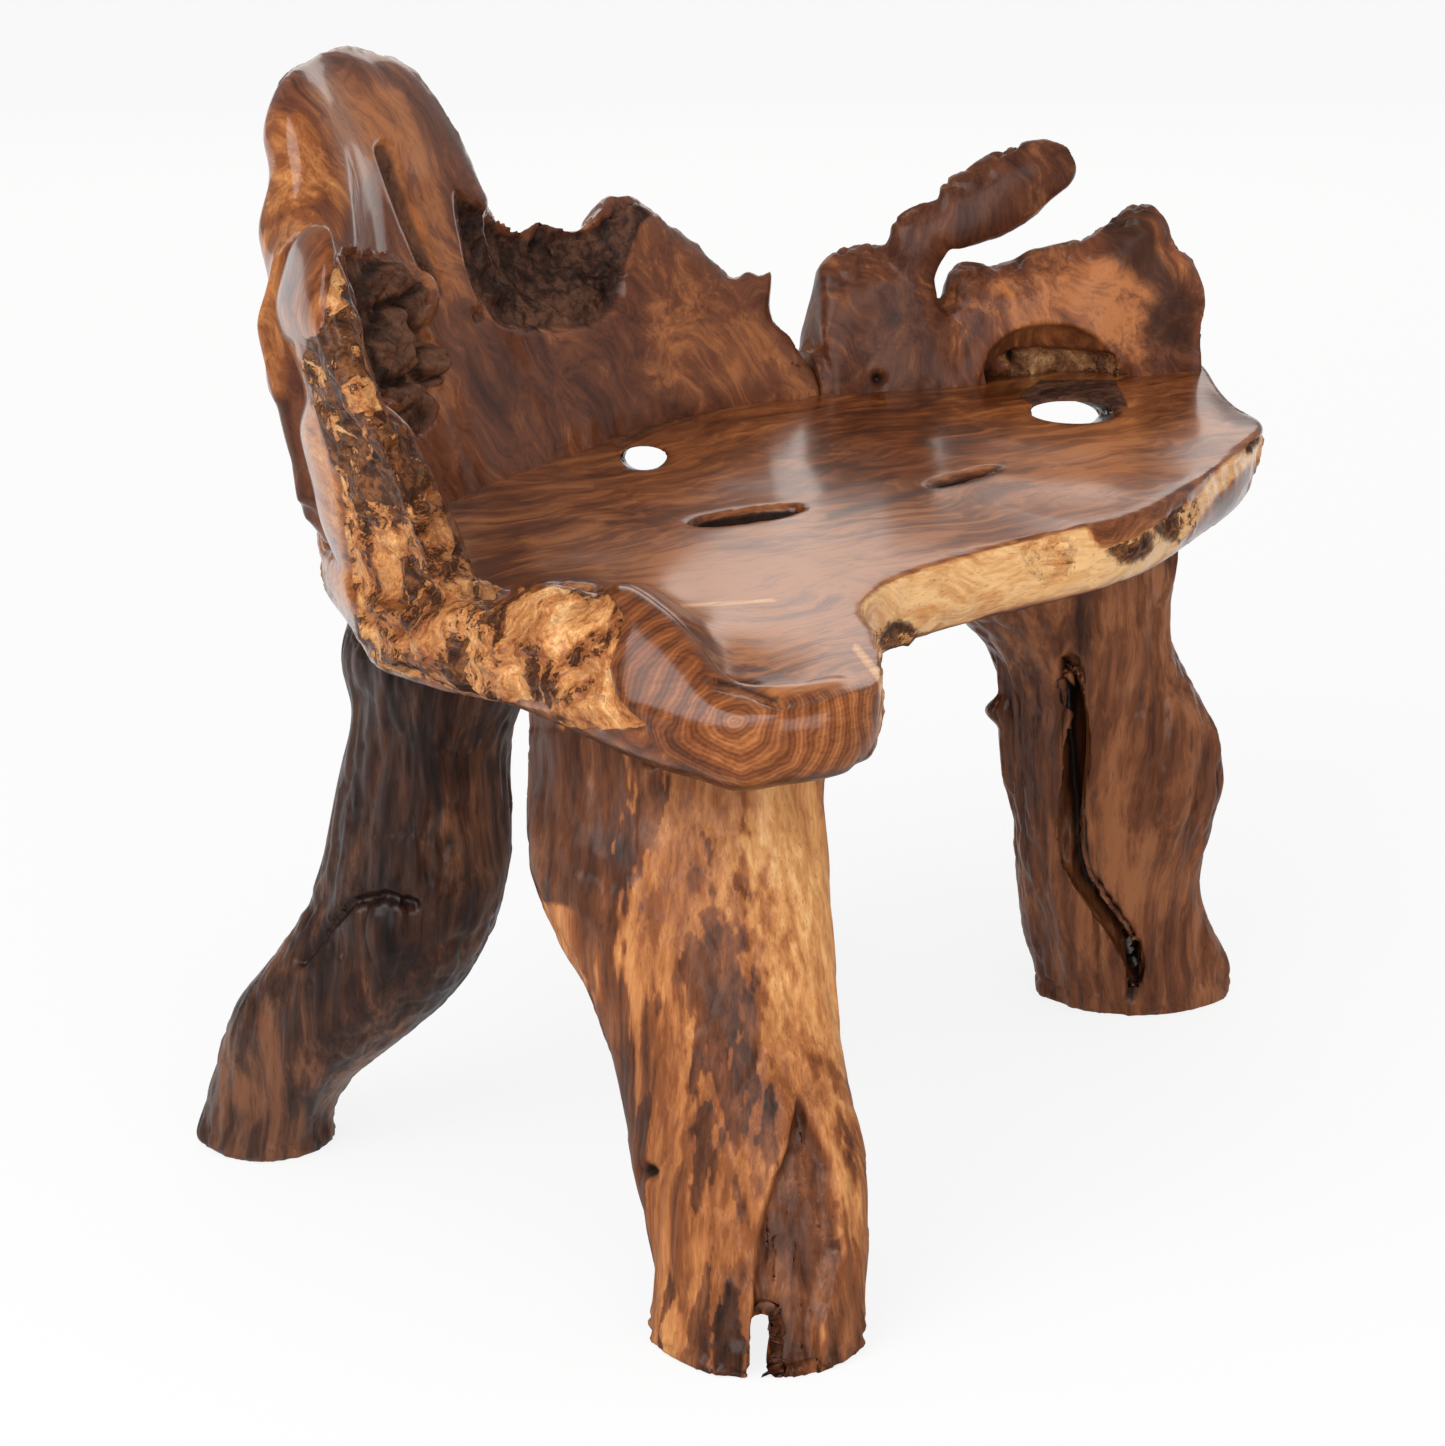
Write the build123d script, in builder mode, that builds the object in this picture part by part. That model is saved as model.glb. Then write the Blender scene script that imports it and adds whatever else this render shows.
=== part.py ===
from build123d import *
import os
from math import cos, hypot, radians, sin

# A bench carved from teak root: a thick seat slab with a rolled lip and a raised
# arm, two root walls as its back, and four root legs on pegs and screws.
# Millimetres, +Z up, floor at Z = 0, the sitter faces -Y.
# The origin is on the floor, below the middle of the whole bench.

# Overall sizes
bench_length = 1030
bench_depth = 780
seat_height = 450
back_height = 775
arm_height = 695
seat_thickness = 54
cut_overrun = 40

# Place of the plan's zero point, from the origin below the bounding box's middle
plan_zero_x = -12
plan_zero_y = 12

seat_underside = seat_height - seat_thickness
back_rise = back_height - seat_height
arm_rise = arm_height - seat_height

# Seat slab: a bulging natural rim, undercut below
rim_ease = 7
rim_height = 20
rim_undercut = 24

# Seat outline from the front notch along the front, right end, back and left end,
# then round the front left lobe: shares of the bench's length and depth
seat_outline_shares = (
    (-0.236, -0.310), (-0.194, -0.270), (-0.142, -0.250), (-0.060, -0.240),
    (0.044, -0.243), (0.121, -0.224), (0.212, -0.173), (0.328, -0.097),
    (0.393, -0.010), (0.440, 0.075), (0.490, 0.165), (0.500, 0.225),
    (0.475, 0.265), (0.413, 0.295), (0.335, 0.343), (0.257, 0.394),
    (0.170, 0.435), (0.063, 0.455), (-0.024, 0.440), (-0.121, 0.405),
    (-0.225, 0.350), (-0.315, 0.285), (-0.388, 0.195), (-0.438, 0.095),
    (-0.462, -0.010), (-0.458, -0.110), (-0.440, -0.205), (-0.442, -0.301),
    (-0.440, -0.391), (-0.418, -0.455), (-0.379, -0.485), (-0.345, -0.480),
    (-0.312, -0.438), (-0.268, -0.370),
)

# Rolled lip round the lobe: place shares, height share of the slab, radius share
lip_radius = 37
lip_shares = (
    (-0.436, -0.060, 0.72, 0.75),
    (-0.440, -0.130, 0.74, 0.85),
    (-0.436, -0.215, 0.80, 0.95),
    (-0.428, -0.325, 0.62, 1.00),
    (-0.400, -0.415, 0.50, 0.97),
    (-0.350, -0.447, 0.45, 0.80),
)

# Dark hollows in the seat: place, half length, half width, turn and depth
slot_half_length = 47
slot_half_width = 18
slot_depth = 16
crack_half_length = 50
crack_half_width = 6
slot_shares = (-0.125, -0.002)
slot_turn = -8
crack_shares = (0.063, -0.032)
crack_turn = 9
hairline_half_length = 22
hairline_half_width = 3
hairline_shares = (0.250, 0.010)
hairline_turn = -30

# Two slanting holes through the slab at the foot of the back walls
hole_turn = 42
hole_fall = 17.5
small_hole_half_width = 18
small_hole_half_height = 11
small_hole_shares = (-0.067, 0.230)
large_hole_half_width = 34
large_hole_half_height = 12
large_hole_shares = (0.274, 0.088)

# Root walls: half thickness at the foot and crest, a flare where the wall meets
# the seat, and the lean of a full-height wall out over the seat's edge
wall_outer_half = 38
wall_inner_half = 32
wall_crest_half = 25
wall_flare = 34
wall_lean = 45
wall_rooting = 20

# Levels of a wall's section: share of the rise, of the lean, of the way from the
# foot's half thickness to the crest's, and of the flare
section_shares = (
    (0.22, 0.20, 0.10, 0.35),
    (0.60, 0.58, 0.45, 0.00),
    (0.90, 0.92, 1.00, 0.00),
)

# Stations along the walls, as seen from above: shares of the bench's length and
# depth, of the flare, of the rise and of the crest's thickness
arm_stations_shares = (
    (-0.420, -0.098, 0.2, 0.10, 1.00),
    (-0.424, -0.066, 0.4, 0.33, 1.00),
    (-0.427, -0.034, 0.6, 0.60, 0.95),
    (-0.429, -0.003, 0.8, 0.83, 0.80),
    (-0.427, 0.029, 0.9, 0.96, 0.65),
    (-0.420, 0.062, 1.0, 0.98, 0.65),
    (-0.406, 0.096, 1.0, 0.93, 0.80),
    (-0.385, 0.130, 1.0, 0.90, 0.90),
    (-0.362, 0.164, 1.0, 0.92, 1.00),
)
left_wall_stations_shares = (
    (-0.406, 0.096, 0.7, 0.69, 0.80),
    (-0.385, 0.130, 0.7, 0.69, 0.85),
    (-0.365, 0.162, 0.7, 0.76, 0.95),
    (-0.342, 0.195, 0.8, 0.93, 1.00),
    (-0.310, 0.238, 0.9, 0.975, 1.00),
    (-0.265, 0.275, 0.9, 0.98, 1.00),
    (-0.220, 0.302, 0.9, 0.95, 1.00),
    (-0.180, 0.321, 0.9, 0.89, 0.90),
    (-0.148, 0.334, 0.9, 0.73, 0.90),
    (-0.115, 0.346, 0.8, 0.57, 0.90),
    (-0.070, 0.361, 0.6, 0.50, 0.90),
    (-0.015, 0.378, 0.4, 0.465, 0.90),
    (0.030, 0.386, 0.3, 0.51, 0.90),
    (0.060, 0.386, 0.2, 0.475, 0.85),
    (0.100, 0.379, 0.1, 0.36, 0.80),
    (0.140, 0.367, 0.0, 0.265, 0.75),
    (0.162, 0.359, 0.0, 0.17, 0.70),
    (0.179, 0.352, 0.0, 0.06, 0.65),
)
right_wall_stations_shares = (
    (0.184, 0.350, 0.0, 0.07, 0.65),
    (0.192, 0.346, 0.0, 0.21, 0.70),
    (0.205, 0.339, 0.0, 0.285, 0.80),
    (0.224, 0.329, 0.0, 0.32, 0.85),
    (0.244, 0.317, 0.1, 0.33, 0.85),
    (0.264, 0.304, 0.1, 0.31, 0.85),
    (0.279, 0.294, 0.1, 0.25, 0.80),
    (0.290, 0.287, 0.1, 0.20, 0.75),
    (0.302, 0.279, 0.1, 0.25, 0.75),
    (0.325, 0.264, 0.2, 0.265, 0.80),
    (0.360, 0.241, 0.2, 0.30, 0.80),
    (0.398, 0.215, 0.2, 0.34, 0.80),
    (0.425, 0.199, 0.1, 0.395, 0.80),
    (0.444, 0.188, 0.1, 0.38, 0.75),
    (0.458, 0.180, 0.0, 0.30, 0.75),
    (0.474, 0.170, 0.0, 0.24, 0.65),
)

# Arm: its own thickness and lean
arm_outer_half = 15
arm_inner_half = 55
arm_crest_half = 30
arm_flare = 22
arm_lean = 32

# Horn over the right wall: shares of length, depth and rise, and of its thickness
horn_half_width = 19
horn_half_height = 27
horn_stations_shares = (
    (0.258, 0.309, 0.12, 0.45),
    (0.260, 0.308, 0.22, 0.70),
    (0.264, 0.306, 0.33, 0.78),
    (0.275, 0.300, 0.40, 0.72),
    (0.298, 0.285, 0.435, 0.82),
    (0.325, 0.268, 0.465, 1.00),
    (0.353, 0.250, 0.505, 1.00),
    (0.378, 0.236, 0.535, 0.75),
    (0.389, 0.230, 0.545, 0.38),
)

# Seam between the arm and the left wall
arm_seam_shares = (-0.385, 0.130)
arm_seam_turn = 50

# Hollows worn into the walls: ellipsoids by place, half length and radius
bark_pocket_shares = (-0.366, 0.125, 0.45)
bark_pocket_half_length = 78
bark_pocket_radius = 34
rough_scoop_shares = (-0.052, 0.312, 0.52)
rough_scoop_half_length = 112
rough_scoop_radius = 72
rough_scoop_turn = 17
arch_scoop_shares = (0.340, 0.205, 0.02)
arch_scoop_half_length = 56
arch_scoop_radius = 40
arch_scoop_turn = -30

# Legs: the long axis of each section is turned from X, and the sections go by
# height, place, half width and half depth
leg_turn = -42
leg_lump_shares = (1.0, 0.96, 1.03, 0.98, 1.0, 0.95, 1.02, 0.99)

front_left_half_width = 97
front_left_half_depth = 62
front_left_rows_shares = (
    (1.00, -0.346, -0.235, 0.99, 1.00),
    (0.87, -0.347, -0.239, 0.99, 1.00),
    (0.71, -0.359, -0.262, 1.00, 1.00),
    (0.59, -0.361, -0.289, 0.90, 0.98),
    (0.47, -0.362, -0.318, 0.80, 0.96),
    (0.37, -0.365, -0.342, 0.79, 0.94),
    (0.23, -0.370, -0.370, 0.77, 0.92),
    (0.05, -0.382, -0.392, 0.72, 0.92),
    (0.00, -0.386, -0.397, 0.70, 0.92),
)
front_left_cleft_width = 11
front_left_cleft_height = 60
front_left_cleft_shift = 0

front_right_half_width = 88
front_right_half_depth = 62
front_right_rows_shares = (
    (1.00, 0.179, -0.018, 0.90, 1.00),
    (0.80, 0.183, -0.016, 0.91, 1.00),
    (0.69, 0.202, -0.032, 0.86, 0.95),
    (0.58, 0.214, -0.040, 0.98, 0.97),
    (0.42, 0.222, -0.040, 0.98, 0.97),
    (0.24, 0.227, -0.033, 0.84, 0.90),
    (0.09, 0.243, -0.041, 0.90, 0.90),
    (0.00, 0.249, -0.043, 0.86, 0.89),
)
slit_shift_shares = ((-0.47, 0.77), (-0.31, 0.52), (-0.26, 0.31), (0.11, 0.18), (0.28, 0.05))
slit_width = 15
slit_groove_depth = 46
slit_window_width = 10
slit_window_height = 34
slit_window_foot = 32

rear_left_half_width = 75
rear_left_half_depth = 62
rear_left_rows_shares = (
    (1.00, -0.337, 0.103, 0.82, 0.97),
    (0.80, -0.341, 0.104, 0.80, 0.97),
    (0.64, -0.349, 0.108, 0.86, 0.97),
    (0.51, -0.356, 0.116, 0.92, 1.00),
    (0.40, -0.367, 0.136, 0.97, 1.00),
    (0.29, -0.386, 0.168, 0.98, 0.96),
    (0.18, -0.406, 0.203, 0.80, 0.88),
    (0.08, -0.418, 0.226, 0.66, 0.80),
    (0.00, -0.419, 0.233, 0.65, 0.74),
)

rear_right_half_width = 60
rear_right_half_depth = 55
rear_right_rows_shares = (
    (1.00, 0.058, 0.271, 1.00, 1.00),
    (0.71, 0.062, 0.275, 0.95, 0.95),
    (0.38, 0.067, 0.286, 0.92, 0.92),
    (0.00, 0.078, 0.299, 0.98, 0.92),
)

# Pegs: turned teak dowels, glued half in the seat and half in the other piece
peg_clearance = 0.2
leg_peg_radius = 9
leg_peg_length = 72
leg_peg_in_seat = 30
leg_peg_spread = 36
back_peg_radius = 7
back_peg_length = 62
back_peg_in_seat = 30
left_wall_peg_shares = ((-0.310, 0.238), (-0.112, 0.347), (0.145, 0.365))
right_wall_peg_shares = ((0.216, 0.333), (0.433, 0.195))

# Screws: one slanting screw behind the top of each leg, and upright screws from
# below the seat into the back walls
screw_radius = 4
screw_head_radius = 7
screw_head_height = 5
screw_clearance = 0.4
leg_screw_length = 76
leg_screw_in_seat = 30
leg_screw_slant = 35
leg_screw_setback = 20
wall_screw_length = 92
wall_screw_recess = 12
left_wall_screw_shares = ((-0.220, 0.302), (0.100, 0.379))
right_wall_screw_shares = ((0.258, 0.308), (0.462, 0.178))


# Places and points

def place(x_share, y_share):
    """Plan point at the given shares of the bench's length and depth."""
    return (plan_zero_x + x_share * bench_length, plan_zero_y + y_share * bench_depth)


def section_point(x, y, across, along):
    """Point at a distance across and along a leg's turned axes."""
    turn = radians(leg_turn)
    return (
        x + across * cos(turn) - along * sin(turn),
        y + across * sin(turn) + along * cos(turn),
    )


def upright_plane(x_share, y_share, height):
    """Level plane over a plan place."""
    x, y = place(x_share, y_share)
    return Plane((x, y, height))


def station_plane(places, index, height):
    """Upright plane square to a run of plan places at one of them, X pointing out."""
    before = places[max(index - 1, 0)]
    after = places[min(index + 1, len(places) - 1)]
    run_x = after[0] - before[0]
    run_y = after[1] - before[1]
    x, y = places[index]
    return Plane(origin=(x, y, height), x_dir=(-run_y, run_x, 0), z_dir=(run_x, run_y, 0))


def wall_section(plane, inner_foot, outer_foot, crest_half, flare, lean, rise):
    """Blade-shaped section of a wall, rooted a little below the plane's origin."""
    inner_side = [(-inner_foot - flare, -wall_rooting)]
    outer_side = [(outer_foot, -wall_rooting)]
    for rise_share, lean_share, way_share, flare_share in section_shares:
        inner = inner_foot + (crest_half - inner_foot) * way_share + flare * flare_share
        outer = outer_foot + (crest_half - outer_foot) * way_share
        inner_side.append((lean * lean_share - inner, rise * rise_share))
        outer_side.append((lean * lean_share + outer, rise * rise_share))
    with BuildSketch(plane) as section:
        with BuildLine():
            Spline(*inner_side, (lean, rise), *outer_side[::-1])
            Line(outer_side[0], inner_side[0])
        make_face()
    return section.sketch


def wall_loft(stations, inner_foot, outer_foot, crest_half, flare, lean, rise):
    """Lofts a wall along its stations."""
    places = [place(row[0], row[1]) for row in stations]
    sections = []
    for index, (_, _, flare_share, rise_share, crest_share) in enumerate(stations):
        sections.append(wall_section(
            station_plane(places, index, seat_height), inner_foot, outer_foot,
            crest_half * crest_share, flare * flare_share, lean * rise_share,
            rise * rise_share,
        ))
    loft(sections)


def horn_loft():
    """Lofts the horn as a branch with oval sections square to its path."""
    stations = [
        Vector(*place(x_share, y_share), seat_height + back_rise * rise_share)
        for x_share, y_share, rise_share, _ in horn_stations_shares
    ]
    last = len(stations) - 1
    sections = []
    for index, station in enumerate(stations):
        way = stations[min(index + 1, last)] - stations[max(index - 1, 0)]
        plane = Plane(origin=station, x_dir=way.cross(Vector(0, 0, 1)), z_dir=way)
        share = horn_stations_shares[index][3]
        with BuildSketch(plane) as section:
            Ellipse(horn_half_width * share, horn_half_height * share)
        sections.append(section.sketch)
    loft(sections)


def hollow_plane(shares, long_way, side_way):
    """Plane at a hollow's middle, X along the hollow."""
    x, y = place(shares[0], shares[1])
    return Plane(origin=(x, y, seat_height + back_rise * shares[2]), x_dir=long_way, z_dir=side_way)


def hollow(plane, half_length, radius):
    """Wears an ellipsoid hollow whose long axis lies along the plane's X."""
    with BuildSketch(plane) as half:
        Ellipse(half_length, radius)
        with Locations((0, -radius)):
            Rectangle(half_length * 2, radius * 2, mode=Mode.SUBTRACT)
    revolve(half.sketch, axis=Axis(plane.origin, plane.x_dir), mode=Mode.SUBTRACT)


def bore(plane, radius, start, length):
    """Bores a round hole along a plane's normal."""
    with BuildSketch(plane.offset(start)) as circle:
        Circle(radius)
    extrude(circle.sketch, amount=length, mode=Mode.SUBTRACT)


def level_turn(angle):
    """Unit direction in plan at an angle from +X."""
    return (cos(radians(angle)), sin(radians(angle)), 0)


# Fastener planes, shared by the holes and by the pegs and screws in them

def leg_peg_planes(top):
    """Level planes of a leg's two pegs, on the leg's seam with the seat."""
    x, y = place(top[1], top[2])
    return [
        Plane((*section_point(x, y, side * leg_peg_spread, 0), seat_underside))
        for side in (-1, 1)
    ]


def leg_screw_plane(top):
    """Plane on the seam whose normal runs up along the leg's slanting screw."""
    x, y = place(top[1], top[2])
    slant = radians(leg_screw_slant)
    turn = radians(leg_turn)
    up = (sin(turn) * sin(slant), -cos(turn) * sin(slant), cos(slant))
    return Plane(
        origin=(*section_point(x, y, 0, leg_screw_setback), seat_underside), z_dir=up
    )


def wall_peg_planes(shares):
    """Level planes of a wall's pegs, on its seam with the seat."""
    return [upright_plane(x_share, y_share, seat_height) for x_share, y_share in shares]


def wall_screw_planes(shares):
    """Level planes of a wall's screws, where their heads seat in the slab."""
    head_seat = seat_underside + wall_screw_recess
    return [upright_plane(x_share, y_share, head_seat) for x_share, y_share in shares]


leg_rows = {
    "front_left": (front_left_rows_shares, front_left_half_width, front_left_half_depth),
    "front_right": (front_right_rows_shares, front_right_half_width, front_right_half_depth),
    "rear_left": (rear_left_rows_shares, rear_left_half_width, rear_left_half_depth),
    "rear_right": (rear_right_rows_shares, rear_right_half_width, rear_right_half_depth),
}
wall_pegs = {"left": left_wall_peg_shares, "right": right_wall_peg_shares}
wall_screws = {"left": left_wall_screw_shares, "right": right_wall_screw_shares}
pieces = {}


def bore_for_leg(top, into_seat):
    """Peg and screw holes of one leg, cut into the seat or into the leg."""
    for plane in leg_peg_planes(top):
        depth = leg_peg_in_seat if into_seat else leg_peg_in_seat - leg_peg_length
        bore(plane, leg_peg_radius + peg_clearance, 0, depth)
    plane = leg_screw_plane(top)
    shank = screw_radius + screw_clearance
    buried = leg_screw_length - leg_screw_in_seat
    if into_seat:
        bore(plane, shank, -cut_overrun / 2, cut_overrun / 2 + leg_screw_in_seat + screw_clearance)
    else:
        bore(plane, shank, -buried - screw_clearance, buried + cut_overrun)
        bore(plane, screw_head_radius + screw_clearance, -buried, -2 * cut_overrun)


# Seat slab with its lip and arm

def seat_section(height, inset):
    """The seat's outline drawn in by an inset, as a level face."""
    x_scale = 1 - 2 * inset / bench_length
    y_scale = 1 - 2 * inset / bench_depth
    with BuildSketch(Plane.XY.offset(height)) as section:
        with BuildLine():
            Spline(
                *[place(x * x_scale, y * y_scale) for x, y in seat_outline_shares],
                periodic=True,
            )
        make_face()
    return section.sketch


def lip_sections():
    """Round sections of the rolled lip, each square to the lip's path."""
    stations = [
        (*place(x_share, y_share), seat_underside + seat_thickness * height_share)
        for x_share, y_share, height_share, _ in lip_shares
    ]
    last = len(stations) - 1
    sections = []
    for index, station in enumerate(stations):
        before = Vector(stations[max(index - 1, 0)])
        after = Vector(stations[min(index + 1, last)])
        plane = Plane(origin=station, z_dir=after - before)
        with BuildSketch(plane) as section:
            Circle(lip_radius * lip_shares[index][3])
        sections.append(section.sketch)
    return sections


def slanting_hole(shares, half_width, half_height):
    """An oval hole that slants down and back through the slab."""
    away = radians(90 - hole_turn)
    fall = radians(hole_fall)
    axis = (cos(away) * cos(fall), sin(away) * cos(fall), -sin(fall))
    start = upright_plane(*shares, seat_height).origin
    side = (sin(away), -cos(away), 0)
    with BuildSketch(Plane(origin=start, x_dir=side, z_dir=axis)) as oval:
        Ellipse(half_width, half_height)
    extrude(oval.sketch, amount=bench_depth / 2, both=True, mode=Mode.SUBTRACT)


def dent(shares, half_length, half_width, turn):
    """A shallow oval hollow in the seat's top."""
    x, y = place(*shares)
    floor = Plane((x, y, seat_height - slot_depth), x_dir=level_turn(turn), z_dir=(0, 0, 1))
    with BuildSketch(floor) as oval:
        Ellipse(half_length, half_width)
    extrude(oval.sketch, amount=slot_depth + cut_overrun, mode=Mode.SUBTRACT)


with BuildPart() as lip:
    loft(lip_sections())

seam_x, seam_y = place(*arm_seam_shares)
arm_seam = Plane(origin=(seam_x, seam_y, seat_height), z_dir=level_turn(arm_seam_turn))
bark_pocket = hollow_plane(bark_pocket_shares, (0, 0, 1), (0, -1, 0))

with BuildPart() as arm:
    wall_loft(
        arm_stations_shares, arm_inner_half, arm_outer_half, arm_crest_half,
        arm_flare, arm_lean, arm_rise,
    )
    split(bisect_by=arm_seam, keep=Keep.BOTTOM)
    hollow(bark_pocket, bark_pocket_half_length, bark_pocket_radius)

with BuildPart() as seat:
    loft([
        seat_section(seat_underside, rim_undercut),
        seat_section(seat_height - rim_height, 0),
        seat_section(seat_height, rim_ease),
    ])
    slanting_hole(small_hole_shares, small_hole_half_width, small_hole_half_height)
    slanting_hole(large_hole_shares, large_hole_half_width, large_hole_half_height)
    dent(slot_shares, slot_half_length, slot_half_width, slot_turn)
    dent(crack_shares, crack_half_length, crack_half_width, crack_turn)
    dent(hairline_shares, hairline_half_length, hairline_half_width, hairline_turn)
    for rows, _, _ in leg_rows.values():
        bore_for_leg(rows[0], True)
    for side in ("left", "right"):
        for plane in wall_peg_planes(wall_pegs[side]):
            bore(plane, back_peg_radius + peg_clearance, 0, -back_peg_in_seat)
        for plane in wall_screw_planes(wall_screws[side]):
            bore(plane, screw_radius + screw_clearance, -cut_overrun, 2 * cut_overrun + seat_thickness)
            bore(plane, screw_head_radius + screw_clearance, 0, -cut_overrun)
    add(lip.part)
    add(arm.part)
pieces["seat_slab"] = seat


# Back walls

def back_loft(stations):
    """Lofts a back wall, its foot still below the seat's top."""
    wall_loft(
        stations, wall_inner_half, wall_outer_half, wall_crest_half,
        wall_flare, wall_lean, back_rise,
    )


def stand_on_seat(side):
    """Cuts a back wall level with the seat's top, and bores its peg and screw holes."""
    split(bisect_by=Plane.XY.offset(seat_height), keep=Keep.TOP)
    for plane in wall_peg_planes(wall_pegs[side]):
        bore(plane, back_peg_radius + peg_clearance, 0, back_peg_length - back_peg_in_seat)
    for plane in wall_screw_planes(wall_screws[side]):
        bore(plane, screw_radius + screw_clearance, 0, wall_screw_length + screw_clearance)


with BuildPart() as left_wall:
    back_loft(left_wall_stations_shares)
    stand_on_seat("left")
    split(bisect_by=arm_seam, keep=Keep.TOP)
    hollow(bark_pocket, bark_pocket_half_length, bark_pocket_radius)
    rough_scoop = hollow_plane(rough_scoop_shares, level_turn(rough_scoop_turn), (0, 0, 1))
    hollow(rough_scoop, rough_scoop_half_length, rough_scoop_radius)
pieces["back_root_left"] = left_wall

with BuildPart() as right_wall:
    back_loft(right_wall_stations_shares)
    horn_loft()
    stand_on_seat("right")
    arch_scoop = hollow_plane(arch_scoop_shares, level_turn(arch_scoop_turn), (0, 0, 1))
    hollow(arch_scoop, arch_scoop_half_length, arch_scoop_radius)
pieces["back_root_right"] = right_wall


# Legs

def leg_loft(rows, half_width, half_depth):
    """Lofts a root leg through its turned sections, from the seat to the floor."""
    sections = []
    for height_share, x_share, y_share, width_share, depth_share in rows:
        x, y = place(x_share, y_share)
        points = []
        for step, lump_share in enumerate(leg_lump_shares):
            angle = radians(360 * step / len(leg_lump_shares))
            across = half_width * width_share * lump_share * cos(angle)
            along = half_depth * depth_share * lump_share * sin(angle)
            points.append(section_point(x, y, across, along))
        with BuildSketch(Plane.XY.offset(seat_underside * height_share)) as section:
            with BuildLine():
                Spline(*points, periodic=True)
            make_face()
        sections.append(section.sketch)
    loft(sections)


def leg_front_plane(row):
    """Upright plane across a leg, through the middle of one of its sections."""
    x, y = place(row[1], row[2])
    return Plane(origin=(x, y, 0), x_dir=level_turn(leg_turn), z_dir=level_turn(leg_turn - 90))


for name, (rows, half_width, half_depth) in leg_rows.items():
    with BuildPart() as leg:
        leg_loft(rows, half_width, half_depth)
        bore_for_leg(rows[0], False)
        if name == "front_left":
            # The foot is cleft into two toes
            with BuildSketch(leg_front_plane(rows[-1])):
                with BuildLine():
                    Polyline(
                        (front_left_cleft_shift - front_left_cleft_width, -cut_overrun),
                        (front_left_cleft_shift + front_left_cleft_width, -cut_overrun),
                        (front_left_cleft_shift, front_left_cleft_height),
                        close=True,
                    )
                make_face()
            extrude(amount=2 * half_depth, both=True, mode=Mode.SUBTRACT)
        if name == "front_right":
            # A slit runs down the leg and opens right through near the foot
            slit = [(across * half_width, height * seat_underside) for across, height in slit_shift_shares]
            slit_sides = [(x + slit_width / 2, z) for x, z in slit[1:-1]]
            slit_sides_back = [(x - slit_width / 2, z) for x, z in slit[1:-1]]
            front = leg_front_plane(rows[3])
            with BuildSketch(front.offset(half_depth - slit_groove_depth)):
                with BuildLine():
                    Spline(slit[0], *slit_sides, slit[-1])
                    Spline(slit[-1], *slit_sides_back[::-1], slit[0])
                make_face()
            extrude(amount=slit_groove_depth + cut_overrun, mode=Mode.SUBTRACT)
            with BuildSketch(front):
                with Locations((slit[-1][0], slit_window_foot + slit_window_height / 2)):
                    Ellipse(slit_window_width / 2, slit_window_height / 2)
            extrude(amount=2 * half_depth, both=True, mode=Mode.SUBTRACT)
    pieces["leg_" + name] = leg


# Pegs and screws

def screw(plane, length):
    """A hex-head screw whose head seats on the plane and whose shank runs up."""
    with BuildSketch(plane) as shank:
        Circle(screw_radius)
    extrude(shank.sketch, amount=length)
    with BuildSketch(plane) as head:
        RegularPolygon(screw_head_radius - screw_clearance, 6)
    extrude(head.sketch, amount=-screw_head_height)


for name, (rows, _, _) in leg_rows.items():
    with BuildPart() as pegs:
        for plane in leg_peg_planes(rows[0]):
            with BuildSketch(plane.offset(leg_peg_in_seat - leg_peg_length)):
                Circle(leg_peg_radius)
            extrude(amount=leg_peg_length)
    pieces["dowels_" + name] = pegs
    with BuildPart() as leg_screw:
        screw(leg_screw_plane(rows[0]).offset(leg_screw_in_seat - leg_screw_length), leg_screw_length)
    pieces["screw_" + name] = leg_screw

for side in ("left", "right"):
    with BuildPart() as wall_dowels:
        for plane in wall_peg_planes(wall_pegs[side]):
            with BuildSketch(plane.offset(-back_peg_in_seat)):
                Circle(back_peg_radius)
            extrude(amount=back_peg_length)
    pieces["dowels_back_" + side] = wall_dowels
    with BuildPart() as wall_screw:
        for plane in wall_screw_planes(wall_screws[side]):
            screw(plane, wall_screw_length)
    pieces["screws_back_" + side] = wall_screw

os.makedirs("parts", exist_ok=True)
for name, piece in pieces.items():
    piece.part.label = name
    export_step(piece.part, "parts/" + name + ".step")
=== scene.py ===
import math

import bmesh
import bpy
import numpy as np
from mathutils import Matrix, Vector


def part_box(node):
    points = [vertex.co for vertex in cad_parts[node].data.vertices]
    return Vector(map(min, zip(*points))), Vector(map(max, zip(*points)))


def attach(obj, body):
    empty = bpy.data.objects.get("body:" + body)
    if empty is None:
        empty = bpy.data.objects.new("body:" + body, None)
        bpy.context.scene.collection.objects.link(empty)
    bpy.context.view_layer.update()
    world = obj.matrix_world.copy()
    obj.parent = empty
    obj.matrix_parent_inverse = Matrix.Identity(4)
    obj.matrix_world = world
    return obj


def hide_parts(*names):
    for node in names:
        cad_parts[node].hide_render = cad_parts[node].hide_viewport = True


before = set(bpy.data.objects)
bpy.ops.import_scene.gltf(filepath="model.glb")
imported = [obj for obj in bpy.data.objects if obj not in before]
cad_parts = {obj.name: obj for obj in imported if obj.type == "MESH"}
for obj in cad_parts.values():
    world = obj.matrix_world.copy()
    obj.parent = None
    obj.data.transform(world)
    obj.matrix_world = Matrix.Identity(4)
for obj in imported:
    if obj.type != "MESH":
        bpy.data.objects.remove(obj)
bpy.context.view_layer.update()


# Camera of the photograph, in metres and in the photograph's pixels

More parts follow.
